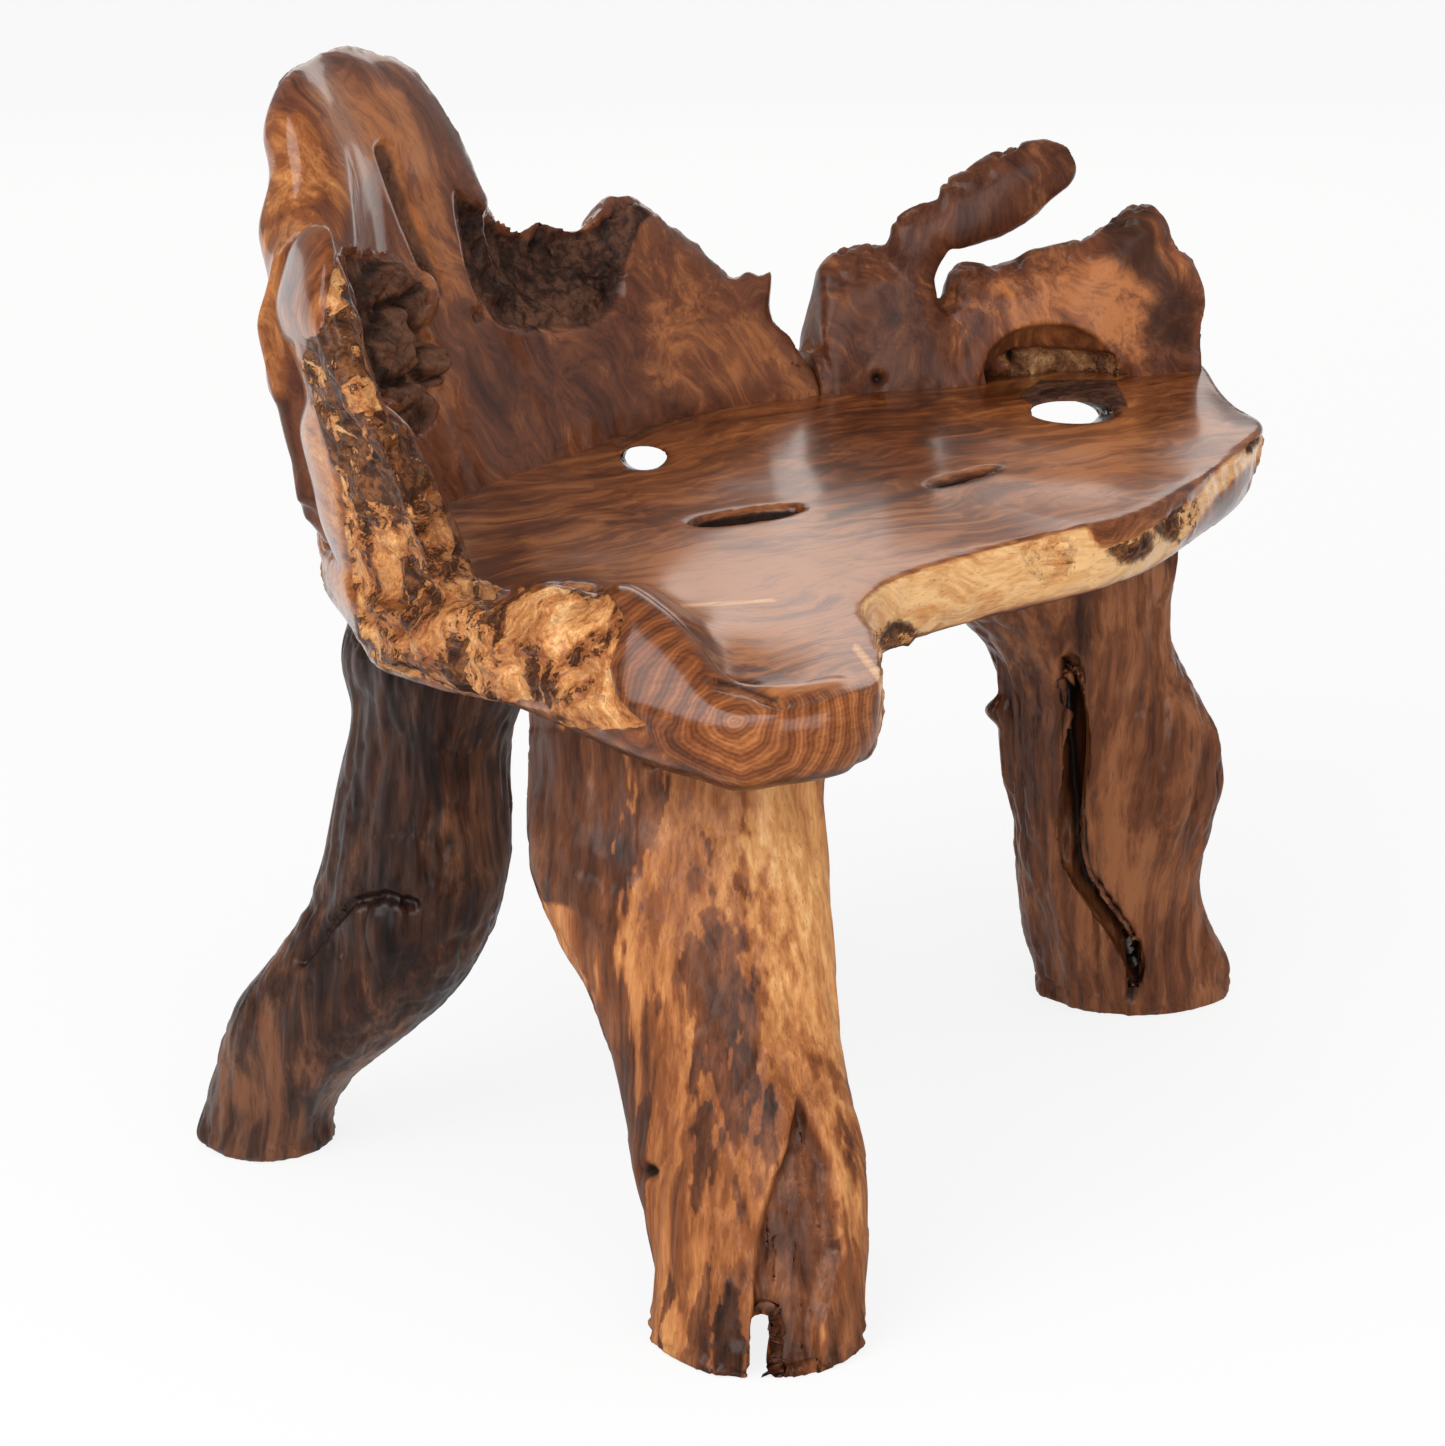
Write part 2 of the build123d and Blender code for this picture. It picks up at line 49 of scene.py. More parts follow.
image_middle = (722.5, 723.0)
image_height = 1446
focal_pixels = 4200
sensor_width = 36.0
view_turn = math.radians(-42)
view_tilt = math.radians(17)
camera_place = Vector((-2.091, -2.130, 1.18))

camera_back = Vector((
    math.sin(view_turn) * math.cos(view_tilt),
    -math.cos(view_turn) * math.cos(view_tilt),
    math.sin(view_tilt),
))
camera_right = Vector((math.cos(view_turn), math.sin(view_turn), 0))
camera_up = camera_back.cross(camera_right)


def pixels(points):
    """Where points in space fall in the photograph, in its pixels, and how far away they are."""
    sight = points - np.array(camera_place)
    depth = -(sight @ np.array(camera_back))
    across = sight @ np.array(camera_right)
    upward = sight @ np.array(camera_up)
    return np.stack([
        image_middle[0] + focal_pixels * across / depth,
        image_middle[1] - focal_pixels * upward / depth,
    ], 1), depth


# Masks drawn over the photograph, each from 0 to 1 at every point of a mesh

def ease(low, high, values):
    """Smooth step from 0 at low to 1 at high."""
    share = np.clip((values - low) / (high - low), 0, 1)
    return share * share * (3 - 2 * share)


def line_distance(places, corners, closed):
    """Distance in pixels from each place to a line through corners."""
    corners = np.array(corners, float)
    ends = np.roll(corners, -1, 0) if closed else corners[1:]
    starts = corners if closed else corners[:-1]
    nearest = np.full(len(places), np.inf)
    for start, end in zip(starts, ends):
        run = end - start
        share = np.clip(((places - start) @ run) / (run @ run), 0, 1)
        nearest = np.minimum(nearest, np.linalg.norm(places - start - share[:, None] * run, axis=1))
    return nearest


def patch(places, outline, softness=6):
    """Mask inside a closed outline."""
    corners = np.array(outline, float)
    within = np.zeros(len(places), bool)
    for (x0, y0), (x1, y1) in zip(corners, np.roll(corners, -1, 0)):
        if y0 != y1:
            level = (y0 > places[:, 1]) != (y1 > places[:, 1])
            edge = (x1 - x0) * (places[:, 1] - y0) / (y1 - y0) + x0
            within ^= level & (places[:, 0] < edge)
    distance = line_distance(places, outline, True)
    return ease(-softness, softness, np.where(within, distance, -distance))


def stroke(places, line, width):
    """Mask along an open line, strongest on it."""
    return 1 - ease(0, width, line_distance(places, line, False))


def spot(places, middle, reach):
    """Round mask about a place."""
    return 1 - ease(0, reach, np.linalg.norm(places - np.array(middle, float), axis=1))


def bulb(places, middle, half_width, half_height):
    """A dome over an upright oval, and the rim of painted shade round it."""
    reach = np.linalg.norm((places - np.array(middle)) / np.array((half_width, half_height)), axis=1)
    return np.sqrt(np.clip(1 - reach * reach, 0, 1)), ease(0.80, 0.98, reach) * ease(1.30, 1.05, reach)


# Random relief, the same at every run

ridge_sharpness = 2.2
corner_steps = [(a, b, c) for a in (0, 1) for b in (0, 1) for c in (0, 1)]


def lattice(cell, seed):
    """Random value from -1 to 1 for each whole-numbered cell."""
    mixed = cell[:, 0] * 374761393 + cell[:, 1] * 668265263 + cell[:, 2] * 1440662683 + seed * 974634777
    mixed = (mixed ^ (mixed >> 13)) * 1274126177
    mixed = mixed ^ (mixed >> 16)
    return (mixed & 65535) / 32767.5 - 1


def lumps(points, size, seed, octaves=4, fade=0.5):
    """Smooth random value, mostly within -0.6 to 0.6, whose lumps are about size metres across."""
    total = np.zeros(len(points))
    weight = 1.0
    scaled = points / size + seed * 7.31
    for octave in range(octaves):
        cell = np.floor(scaled).astype(np.int64)
        part = scaled - cell
        eased = part * part * part * (part * (part * 6 - 15) + 10)
        for step in corner_steps:
            share = np.prod(np.where(np.array(step) == 1, eased, 1 - eased), axis=1)
            total += weight * share * lattice(cell + np.array(step), seed + octave)
        weight *= fade
        scaled = scaled * 2.03 + 11.7
    return total


def ridges(points, size, seed, octaves):
    """Random creases, 1 in a crease and near 0 between."""
    return 1 - np.clip(np.abs(lumps(points, size, seed, octaves)) * ridge_sharpness, 0, 1)


def stretched(points, direction, share):
    """Points drawn together along a direction, so that what is read there grows longer."""
    way = np.array(direction, float)
    way /= np.linalg.norm(way)
    along = points @ way
    return points - np.outer(along * (1 - share), way)


# Pieces of wood, each a fine skin round its CAD solid

weld_distance = 1e-5
seam_tolerance = 1e-4


class Skin:
    """A closed fine mesh round one CAD node, whose points are moved to carve it."""

    def __init__(self, name, node, voxel, rounds, reshape=None):
        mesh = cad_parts[node].data.copy()
        piece = bpy.data.objects.new(name, mesh)
        bpy.context.scene.collection.objects.link(piece)
        form = bmesh.new()
        form.from_mesh(mesh)
        bmesh.ops.remove_doubles(form, verts=form.verts, dist=weld_distance)
        if reshape:
            reshape(form)
        form.to_mesh(mesh)
        form.free()
        remesh = piece.modifiers.new("skin", "REMESH")
        remesh.mode = "VOXEL"
        remesh.voxel_size = voxel
        smooth = piece.modifiers.new("ease", "SMOOTH")
        smooth.factor = 0.5
        smooth.iterations = rounds
        graph = bpy.context.evaluated_depsgraph_get()
        piece.data = bpy.data.meshes.new_from_object(piece.evaluated_get(graph))
        piece.modifiers.clear()
        piece.data.name = name
        piece.data.materials.clear()
        piece.data.polygons.foreach_set("use_smooth", np.ones(len(piece.data.polygons), bool))
        self.piece = piece
        self.node = node
        self.read()

    def read(self):
        """Points, normals and photograph places of the mesh as it is now."""
        count = len(self.piece.data.vertices)
        points = np.zeros(count * 3, np.float32)
        self.piece.data.vertices.foreach_get("co", points)
        self.points = points.reshape(-1, 3).astype(float)
        normals = np.zeros(count * 3, np.float32)
        self.piece.data.vertex_normals.foreach_get("vector", normals)
        self.normals = normals.reshape(-1, 3).astype(float)
        self.places, self.depth = pixels(self.points)
        sight = np.array(camera_place) - self.points
        sight /= np.linalg.norm(sight, axis=1)[:, None]
        self.facing = ease(-0.15, 0.25, np.sum(self.normals * sight, axis=1))

    def move(self, shift):
        """Moves every point along its normal by a length, or by a vector of its own."""
        if shift.ndim == 1:
            shift = self.normals * shift[:, None]
        moved = (self.points + shift).astype(np.float32)
        self.piece.data.vertices.foreach_set("co", moved.ravel())
        self.piece.data.update()
        self.read()

    def note(self, name, values):
        """Keeps a mask on the mesh for its finish to read."""
        layer = self.piece.data.attributes.new(name, "FLOAT", "POINT")
        layer.data.foreach_set("value", np.clip(values, 0, 1).astype(np.float32))

    def place(self, finish, slot):
        """Dresses the piece, rides it and lets it stand for its node."""
        self.piece.data.materials.append(finish)
        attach(self.piece, "root")
        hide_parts(self.node)


# Finishes

class Socket:
    """A node's output that takes arithmetic: each operation adds its Math node."""

    def __init__(self, finish, output):
        self.finish = finish
        self.output = output

    def math(self, operation, first, second):
        return self.finish.node("Math", {"operation": operation}, {0: first, 1: second})

    def __add__(self, other):
        return self.math("ADD", self, other)

    def __radd__(self, other):
        return self.math("ADD", other, self)

    def __sub__(self, other):
        return self.math("SUBTRACT", self, other)

    def __rsub__(self, other):
        return self.math("SUBTRACT", other, self)

    def __mul__(self, other):
        return self.math("MULTIPLY", self, other)

    def __rmul__(self, other):
        return self.math("MULTIPLY", other, self)

    def between(self, low, high):
        """Smooth step from 0 at low to 1 at high."""
        return self.finish.node(
            "MapRange", {"interpolation_type": "SMOOTHSTEP"},
            {"Value": self, "From Min": low, "From Max": high},
        )


class Finish:
    """A material under construction."""

    def __init__(self, name):
        self.material = bpy.data.materials.new(name)
        self.material.use_nodes = True
        self.tree = self.material.node_tree
        self.shader = self.tree.nodes["Principled BSDF"]

    def node(self, kind, settings=None, inputs=None, output=0):
        """Adds a node, its settings first, and gives one of its outputs."""
        made = self.tree.nodes.new("ShaderNode" + kind)
        for key, value in (settings or {}).items():
            if key == "stops":
                ramp = made.color_ramp.elements
                while len(ramp) < len(value):
                    ramp.new(0.5)
                for stop, (position, colour) in zip(ramp, value):
                    stop.position = position
                    stop.color = (*colour, 1)
            else:
                setattr(made, key, value)
        for key, value in (inputs or {}).items():
            self.feed(made.inputs[key], value)
        return Socket(self, made.outputs[output])

    def feed(self, socket, value):
        """Links a value to a socket, or sets it there."""
        if isinstance(value, Socket):
            self.tree.links.new(value.output, socket)
        elif socket.type == "RGBA":
            socket.default_value = (*value, 1)
        else:
            socket.default_value = value

    def mask(self, name):
        """A mask kept on the mesh."""
        return self.node("Attribute", {"attribute_name": name}, output="Fac")

    def position(self):
        return self.node("TexCoord", output="Object")

    def drawn_out(self, vector, turn, length):
        """A position in which texture grows longer along the X axis turned so."""
        return self.node("Mapping", {"vector_type": "TEXTURE"}, {
            "Vector": vector, "Rotation": turn, "Scale": (length, 1, 1),
        })

    def wander(self, vector, scale, reach, detail=3.0):
        """A position pushed about by up to half a reach."""
        push = self.node(
            "TexNoise", {"noise_type": "FBM"},
            {"Vector": vector, "Scale": scale, "Detail": detail}, output="Color",
        )
        return self.node("VectorMath", {"operation": "MULTIPLY_ADD"}, {
            0: push, 1: (reach, reach, reach), 2: vector,
        })

    def axis_distance(self, vector, place, way):
        """Distance from a line through a place."""
        offset = self.node("VectorMath", {"operation": "SUBTRACT"}, {0: vector, 1: place})
        across = self.node("VectorMath", {"operation": "CROSS_PRODUCT"}, {0: offset, 1: way})
        return self.node("VectorMath", {"operation": "LENGTH"}, {0: across}, output="Value")

    def noise(self, vector, scale, detail=4.0, fade=0.5, twist=0.0):
        return self.node("TexNoise", {"noise_type": "FBM"}, {
            "Vector": vector, "Scale": scale, "Detail": detail, "Roughness": fade,
            "Distortion": twist,
        })

    def ramp(self, value, stops):
        return self.node("ValToRGB", {"stops": stops}, {"Fac": value})

    def blend(self, share, first, second):
        """Mixes two colours."""
        return self.node("Mix", {"data_type": "RGBA", "blend_type": "MIX"}, {
            0: share, 6: first, 7: second,
        }, output=2)

    def bump(self, height, depth):
        """Normal of a relief whose height of 1 stands depth metres proud."""
        return self.node("Bump", None, {"Strength": 1.0, "Distance": depth, "Height": height})


chestnut = ((0.05, (0.030, 0.008, 0.002)), (0.35, (0.105, 0.026, 0.005)),
            (0.60, (0.215, 0.060, 0.014)), (0.92, (0.430, 0.150, 0.042)))
plum_brown = ((0.05, (0.028, 0.009, 0.005)), (0.36, (0.100, 0.030, 0.014)),
              (0.62, (0.185, 0.058, 0.024)), (0.96, (0.480, 0.170, 0.055)))
dark_root = ((0.05, (0.008, 0.004, 0.003)), (0.40, (0.028, 0.011, 0.007)),
             (0.65, (0.062, 0.024, 0.013)), (0.94, (0.170, 0.066, 0.030)))
brown_root = ((0.05, (0.020, 0.007, 0.003)), (0.36, (0.080, 0.024, 0.009)),
              (0.62, (0.160, 0.050, 0.018)), (0.92, (0.310, 0.112, 0.042)))
sapwood = ((0.08, (0.230, 0.068, 0.018)), (0.36, (0.430, 0.160, 0.048)),
           (0.62, (0.620, 0.285, 0.095)), (0.92, (0.840, 0.500, 0.220)))
hollow_tones = ((0.15, (0.010, 0.005, 0.003)), (0.45, (0.050, 0.021, 0.014)),
                (0.90, (0.190, 0.082, 0.044)))
crust = ((0.20, (0.012, 0.004, 0.002)), (0.50, (0.062, 0.019, 0.007)),
         (0.80, (0.220, 0.076, 0.022)))
steel_tones = ((0.3, (0.42, 0.42, 0.44)), (0.7, (0.66, 0.66, 0.68)))
old_bark = (0.24, 0.076, 0.022)
# Dark of stains and of painted shade, laid by the dark mask
stain_and_shade = (0.014, 0.006, 0.004)
pore_stain = (0.02, 0.008, 0.005)
wood_relief = 0.0024
steel_relief = 0.0001


def teak(name, tones, grain_turn, figure=1.0, contrast=1.0, bend=0.16, gloss=0.16, depth=1.0, coat=0.8,
         rings=None):
    """Lacquered root teak: grain, burl figure, sapwood, bark crust, dark stains, and painted shade and light
    carried by its masks.
    """
    finish = Finish(name)
    position = finish.position()
    gold = finish.mask("gold")
    bark = finish.mask("bark")
    dark = finish.mask("dark")
    rough = finish.mask("rough")
    warm = finish.mask("warm")

    # Slow burl figure, with the grain bent round it
    swirl = finish.noise(position, 6.0 * figure, 4.0, 0.55, 1.6)
    bent = finish.wander(position, 5.0 * figure, bend)
    along = finish.drawn_out(bent, grain_turn, 9.0)
    bands = finish.noise(along, 42.0, 5.0, 0.60, 0.6)
    veins = finish.noise(finish.drawn_out(bent, grain_turn, 22.0), 85.0, 4.0, 0.65, 0.4)
    fibres = finish.noise(along, 260.0, 3.0, 0.65)
    pores = finish.noise(finish.drawn_out(position, grain_turn, 14.0), 700.0, 1.0)
    # The warm mask lifts the tone: warmer wood, and in places painted light and sheen
    tone = 0.5 + warm * 0.36 + contrast * (
        (swirl - 0.5) * 1.0 + (bands - 0.5) * 1.3 + (veins - 0.5) * 1.1 + (fibres - 0.5) * 0.5
    )
    if rings:
        ring = finish.mask("ring")
        spread = finish.axis_distance(finish.wander(position, 16.0, 0.034), *rings)
        waves = finish.node("Math", {"operation": "SINE"}, {0: spread * 2100.0})
        slow_waves = finish.node("Math", {"operation": "SINE"}, {0: spread * 520.0})
        ring_tone = 0.54 + waves * 0.08 + slow_waves * 0.12 + (fibres - 0.5) * 0.5 + (swirl - 0.5) * 0.9
        tone = tone * (1 - ring) + ring_tone * ring
    heart = finish.ramp(tone, tones)
    sap = finish.ramp(
        0.54 + (gold - 1) * 1.1 + warm * 0.25 + (bands - 0.5) * 0.8 + (fibres - 0.5) * 0.6
        + (veins - 0.5) * 0.9 + (swirl - 0.5) * 0.6, sapwood,
    )

    # Sapwood shows where it is masked, with a broken edge; on the seat's arm the gold mask also carries a
    # painted sheen
    sap_share = (gold + (bands - 0.5) * 0.7 + (veins - 0.5) * 0.7).between(0.34, 0.62)
    colour = finish.blend(sap_share, heart, sap)

    # Bark crust left in patches over the sapwood
    flakes = finish.noise(finish.drawn_out(position, grain_turn, 3.0), 30.0, 9.0, 0.72, 0.8)
    specks = finish.noise(position, 150.0, 4.0, 0.6, 0.8)
    crusted = (flakes + (swirl - 0.5) * 1.0 + (specks - 0.5) * 0.35).between(0.505, 0.545)
    crust_colour = finish.ramp(0.5 + (specks - 0.5) * 1.4 + (veins - 0.5) * 1.2, crust)
    bare = finish.ramp(
        0.68 - (flakes - 0.40) * 3.4 + (specks - 0.5) * 1.3 + (veins - 0.5) * 1.0 + warm * 0.2, sapwood,
    )
    weathered_share = (specks + (veins - 0.5) * 1.2).between(0.50, 0.74) * 0.6
    weathered = finish.blend(weathered_share, bare, old_bark)
    flaky = finish.blend(crusted * 0.93, weathered, crust_colour)
    bark_share = (bark + (specks - 0.5) * 0.4).between(0.40, 0.60)
    colour = finish.blend(bark_share, colour, flaky)

    # Rough dark hollows and the dark mask: real stains and rough wood, with painted shade in creases, holes,
    # slot floors, flutes and under the slab
    rough_tone = 0.5 + (specks - 0.5) * 0.9 + (bands - 0.5) * 1.3 + (swirl - 0.5) * 0.6 + warm * 0.3
    rough_colour = finish.ramp(rough_tone, hollow_tones)
    rough_share = (rough + (flakes - 0.5) * 0.5).between(0.30, 0.70)
    colour = finish.blend(rough_share, colour, rough_colour)
    colour = finish.blend((dark + (bands - 0.5) * 0.5 * dark).between(0.0, 1.0), colour, stain_and_shade)
    colour = finish.blend(pores.between(0.62, 0.74) * 0.35, colour, pore_stain)

    matt = bark_share * 0.75 + rough_share - bark_share * rough_share * 0.75
    finish.feed(finish.shader.inputs["Base Color"], colour)
    finish.feed(finish.shader.inputs["Roughness"], gloss + 0.16 * fibres + matt * 0.30)
    finish.feed(finish.shader.inputs["Coat Weight"], coat - matt * 0.92 * coat)
    finish.shader.inputs["Coat Roughness"].default_value = gloss * 0.7
    finish.shader.inputs["Specular IOR Level"].default_value = 0.12
    relief = (
        fibres * 0.07 * depth + bands * 0.12 * depth + swirl * 0.5 - pores * 0.03
        + bark_share * (crusted * 0.8 + specks * 0.7) + rough_share * (specks * 0.8 + flakes * 0.9)
    )
    finish.feed(finish.shader.inputs["Normal"], finish.bump(relief, wood_relief))
    return finish.material


def steel(name):
    """Bright zinc-plated steel with fine wear."""
    finish = Finish(name)
    wear = finish.noise(finish.position(), 300.0, 4.0)
    finish.feed(finish.shader.inputs["Base Color"], finish.ramp(wear, steel_tones))
    finish.shader.inputs["Metallic"].default_value = 1.0
    finish.feed(finish.shader.inputs["Roughness"], 0.22 + 0.25 * wear)
    finish.feed(finish.shader.inputs["Normal"], finish.bump(wear, steel_relief))
    return finish.material


# Reaching into a neighbour, so that a joint shows no groove

def reaches(level, side, length):
    """Draws the points on a level seam on into the neighbour by a length."""
    def reshape(form):
        for vertex in form.verts:
            if abs(vertex.co.z - level) < seam_tolerance:
                vertex.co.z += side * length
    return reshape


seat_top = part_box("back_root_left")[0].z
seat_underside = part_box("leg_front_left")[1].z

quick_share = 1.0
seat_cell = 0.0040 * quick_share
wall_left_cell = 0.0032 * quick_share
wall_right_cell = 0.0026 * quick_share
leg_cell = 0.0024 * quick_share
wall_rooting = 0.012
leg_rooting = 0.010

# Share by which a pull may fall short, so that close places don't fight
pull_slack = 0.05


def pull(skin, reach, pairs):
    """Moves the form across the photograph's picture, from each first place to the second."""
    froms = np.array([pair[:2] for pair in pairs], float)
    moves = np.array([pair[2:] for pair in pairs], float) - froms
    spread = np.linalg.norm(froms[:, None] - froms[None], axis=2)
    weights = np.linalg.solve(np.exp(-(spread / reach) ** 2) + pull_slack * np.eye(len(froms)), moves)
    away = np.linalg.norm(skin.places[:, None] - froms[None], axis=2)
    shift = np.exp(-(away / reach) ** 2) @ weights * (skin.depth / focal_pixels)[:, None]
    skin.move(shift[:, :1] * np.array(camera_right) - shift[:, 1:] * np.array(camera_up))


bark_flake_depth = 0.0030
bark_crease_depth = 0.0040
bark_grit_height = 0.0030


def crusty(points, grain, seed):
    """Relief of bark and rot, in metres, mostly cut in."""
    drawn = stretched(points, grain, 0.45)
    flakes = ease(-0.05, 0.12, lumps(drawn, 0.030, seed, 4))
    return (
        -bark_flake_depth * (1 - flakes) - bark_crease_depth * ridges(drawn, 0.045, seed + 9, 4)
        + bark_grit_height * lumps(points, 0.012, seed + 5, 3)
    )


# Seat slab with its arm and rolled lip

arm_bark = (
    (345, 240), (352, 262), (362, 300), (372, 345), (375, 385), (397, 402), (408, 420),
    (422, 455), (440, 490), (455, 530), (475, 575), (490, 583), (512, 582), (530, 590),
    (550, 585), (575, 580), (600, 583), (612, 600), (622, 615), (618, 640), (608, 670),
    (615, 695), (645, 728), (600, 730), (560, 728), (545, 712), (500, 705), (450, 703),
    (410, 697), (370, 690), (352, 655), (352, 600), (345, 545), (338, 480), (325, 440),
    (312, 400), (302, 365), (305, 340), (318, 335), (325, 300), (335, 270),
)
front_bark = (
    (862, 650), (856, 625), (858, 605), (880, 585), (920, 568), (1000, 545), (1050, 530),
    (1085, 521), (1100, 545), (1130, 540), (1170, 515), (1200, 492), (1215, 470), (1245, 443),
    (1270, 428), (1270, 450), (1240, 475), (1215, 500), (1180, 550), (1140, 575), (1100, 590),
    (1000, 612), (980, 620), (925, 640), (885, 660), (872, 660),
)
notch_gold = (
    (856, 640), (880, 668), (892, 680), (892, 705), (882, 740), (874, 742), (879, 700),
    (877, 682), (850, 648),
)
scroll_wood = (
    (600, 583), (640, 588), (655, 598), (672, 615), (683, 640), (695, 655), (712, 680),
    (745, 690), (780, 697), (830, 690), (878, 678), (882, 735), (865, 758), (850, 768),
    (800, 787), (740, 792), (680, 765), (640, 730), (612, 697), (606, 670), (616, 640),
    (620, 615), (610, 598),
)

arm_outer_face = (
    (283, 345), (300, 345), (302, 365), (312, 400), (325, 440), (338, 480), (345, 545), (352, 600),
    (352, 655), (365, 690), (345, 640), (320, 590), (290, 500), (275, 400),
)
arm_lower_edge = ((410, 699), (450, 698), (545, 703), (556, 722), (500, 716), (430, 706))
crust_clumps = (
    ((1050, 555), 40), ((1130, 540), 38), ((1175, 515), 42), ((900, 640), 30), ((1250, 440), 22),
)
lip_crease = ((712, 681), (730, 686), (750, 690), (765, 696), (782, 702))
# Line of painted shade in the crevice behind the lip
lip_crease_shade = ((712, 681), (750, 690), (782, 702))
scroll_crease = ((612, 598), (618, 612), (622, 620))
arm_crack = ((288, 345), (291, 375), (294, 408))
wall_foot = ((620, 443), (650, 428), (700, 410), (730, 402), (760, 397), (800, 396))
pale_streak = ((680, 606), (720, 604), (775, 600))
pale_corner = ((630, 442), (655, 430), (700, 430), (690, 450))
long_crack = ((830, 516), (880, 503), (925, 490), (985, 478), (1003, 465))
slots_about = ((680, 480), (1150, 430), (1160, 490), (900, 530), (700, 540))
large_hole_rim = (
    (1020, 396), (1040, 380), (1115, 380), (1128, 408), (1108, 412), (1095, 406), (1050, 405),
    (1038, 410),
)
front_of_top = (
    (630, 560), (860, 500), (1240, 400), (1270, 440), (1000, 545), (870, 590), (860, 690),
    (720, 680), (660, 600),
)
warm_corner = ((430, 560), (500, 470), (640, 480), (620, 590), (500, 590))

# Creases of the seat: line, half width in pixels and depth in metres
seat_creases = ((lip_crease, 9, 0.0050), (scroll_crease, 8, 0.0040), (arm_crack, 8, 0.0030))
wall_foot_depth = 0.0030

# Holes through the slab: their turn, their fall in the solid and along the camera's
# sight, for each its middle on the slab's top and its half width, and a run that is
# longer than any of them
hole_turn = math.radians(42)
hole_fall = math.radians(17.5)
sight_fall = math.radians(13.2)
hole_places = (((-0.081, 0.191), 0.018), ((0.270, 0.081), 0.034))
hole_run = 0.26

# Pulls of the seat's form: reach, then places in the photograph and where they go
arm_pull = (34, (
    (268, 275, 285, 268), (305, 231, 317, 229), (275, 340, 277, 340), (290, 420, 288, 420),
    (355, 255, 342, 252), (385, 300, 357, 300), (412, 345, 367, 345), (437, 385, 377, 386),
    (450, 420, 408, 416), (464, 460, 426, 456), (484, 505, 448, 501), (507, 550, 472, 558),
    (530, 578, 500, 582), (330, 300, 325, 300), (350, 400, 345, 400), (380, 500, 378, 500),
    (620, 520, 620, 520), (640, 560, 640, 562), (297, 425, 286, 423), (304, 470, 291, 470),
    (308, 520, 301, 520), (306, 570, 317, 572), (312, 620, 335, 618), (330, 655, 352, 655),
    (365, 680, 368, 682),
))
right_end_pull = (22, (
    (1225, 375, 1219, 379), (1245, 393, 1242, 402), (1258, 430, 1264, 431), (1250, 455, 1248, 460),
    (1200, 400, 1200, 400), (1210, 450, 1210, 450),
))
lobe_pull = (30, (
    (540, 612, 540, 588), (582, 610, 580, 584), (625, 633, 616, 586), (650, 641, 646, 595),
    (675, 652, 676, 620), (700, 664, 701, 653), (725, 671, 723, 683), (760, 677, 760, 694),
    (800, 681, 800, 692), (850, 688, 850, 687), (893, 700, 888, 702), (880, 740, 872, 746),
    (740, 778, 740, 786), (640, 742, 645, 742), (620, 690, 616, 690), (560, 660, 560, 660),
    (650, 590, 650, 582), (720, 630, 720, 625), (800, 640, 800, 640), (590, 740, 590, 738),
))

seat = Skin("seat", "seat_slab", seat_cell, rounds=6)
for reach, pairs in (arm_pull, right_end_pull, lobe_pull):
    pull(seat, reach, pairs)
top_face = ease(0.80, 0.95, seat.normals[:, 2]) * (np.abs(seat.points[:, 2] - seat_top) < 0.006)
edge_crust = np.maximum.reduce([spot(seat.places, middle, reach) for middle, reach in crust_clumps])
front_edge = patch(seat.places, front_bark, 4)
bark = np.maximum(
    patch(seat.places, arm_bark, 5),
    front_edge * (0.25 + 0.75 * edge_crust),
) * seat.facing
hidden_rim = (
    (1 - seat.facing) * ease(0.5, 0.8, 1 - np.abs(seat.normals[:, 2]))
    * ease(0.012, 0.002, seat.points[:, 2] - seat_top)
)
# Outer face of the arm: paler wood with a painted sheen, laid through gold and warm below
arm_side = patch(seat.places, arm_outer_face, 5) * seat.facing
lower_strip = patch(seat.places, arm_lower_edge, 3)
bark = np.maximum(bark * (1 - top_face) * (1 - lower_strip), hidden_rim)
scroll = patch(seat.places, scroll_wood, 4) * seat.facing

# Each hole is bent from its fall in the solid to the camera's sight
for corner, half_width in hole_places:
    away = np.array((math.sin(hole_turn), math.cos(hole_turn)))
    offset = seat.points[:, :2] - np.array(corner)
    along = np.clip(offset @ away, 0, hole_run)
    aside = np.abs(offset @ np.array((away[1], -away[0])))
    above = np.abs(seat.points[:, 2] - seat_top + along * math.tan(hole_fall))
    share = (
        ease(0.032, 0.016, above) * ease(half_width + 0.014, half_width + 0.004, aside)
        * ease(0.001, 0.009, seat_top - seat.points[:, 2])
    )
    rise = share * along * (math.tan(hole_fall) - math.tan(sight_fall))
    seat.move(np.outer(rise, (0, 0, 1)))

relief = crusty(seat.points, (1, 0.3, 0), 3) * bark
relief -= 0.0022 * np.clip(lumps(seat.points, 0.16, 21, 2), 0, 1) * top_face
for line, width, depth in seat_creases:
    relief -= depth * stroke(seat.places, line, width) * seat.facing
relief -= wall_foot_depth * stroke(seat.places, wall_foot, 6) * top_face
seat.move(relief)
front_edge = patch(seat.places, front_bark, 4)
gold = np.maximum(patch(seat.places, notch_gold, 3) * seat.facing, 0.90 * bark)
gold = np.maximum(gold, front_edge * seat.facing * (1 - top_face))
# Painted sheen on the arm's polished outer face, as paler gold
gold = np.maximum(gold, 0.66 * arm_side)
gold = np.maximum(gold, stroke(seat.places, pale_streak, 5) * top_face)
gold = np.maximum(gold, 0.45 * patch(seat.places, pale_corner, 8) * top_face)
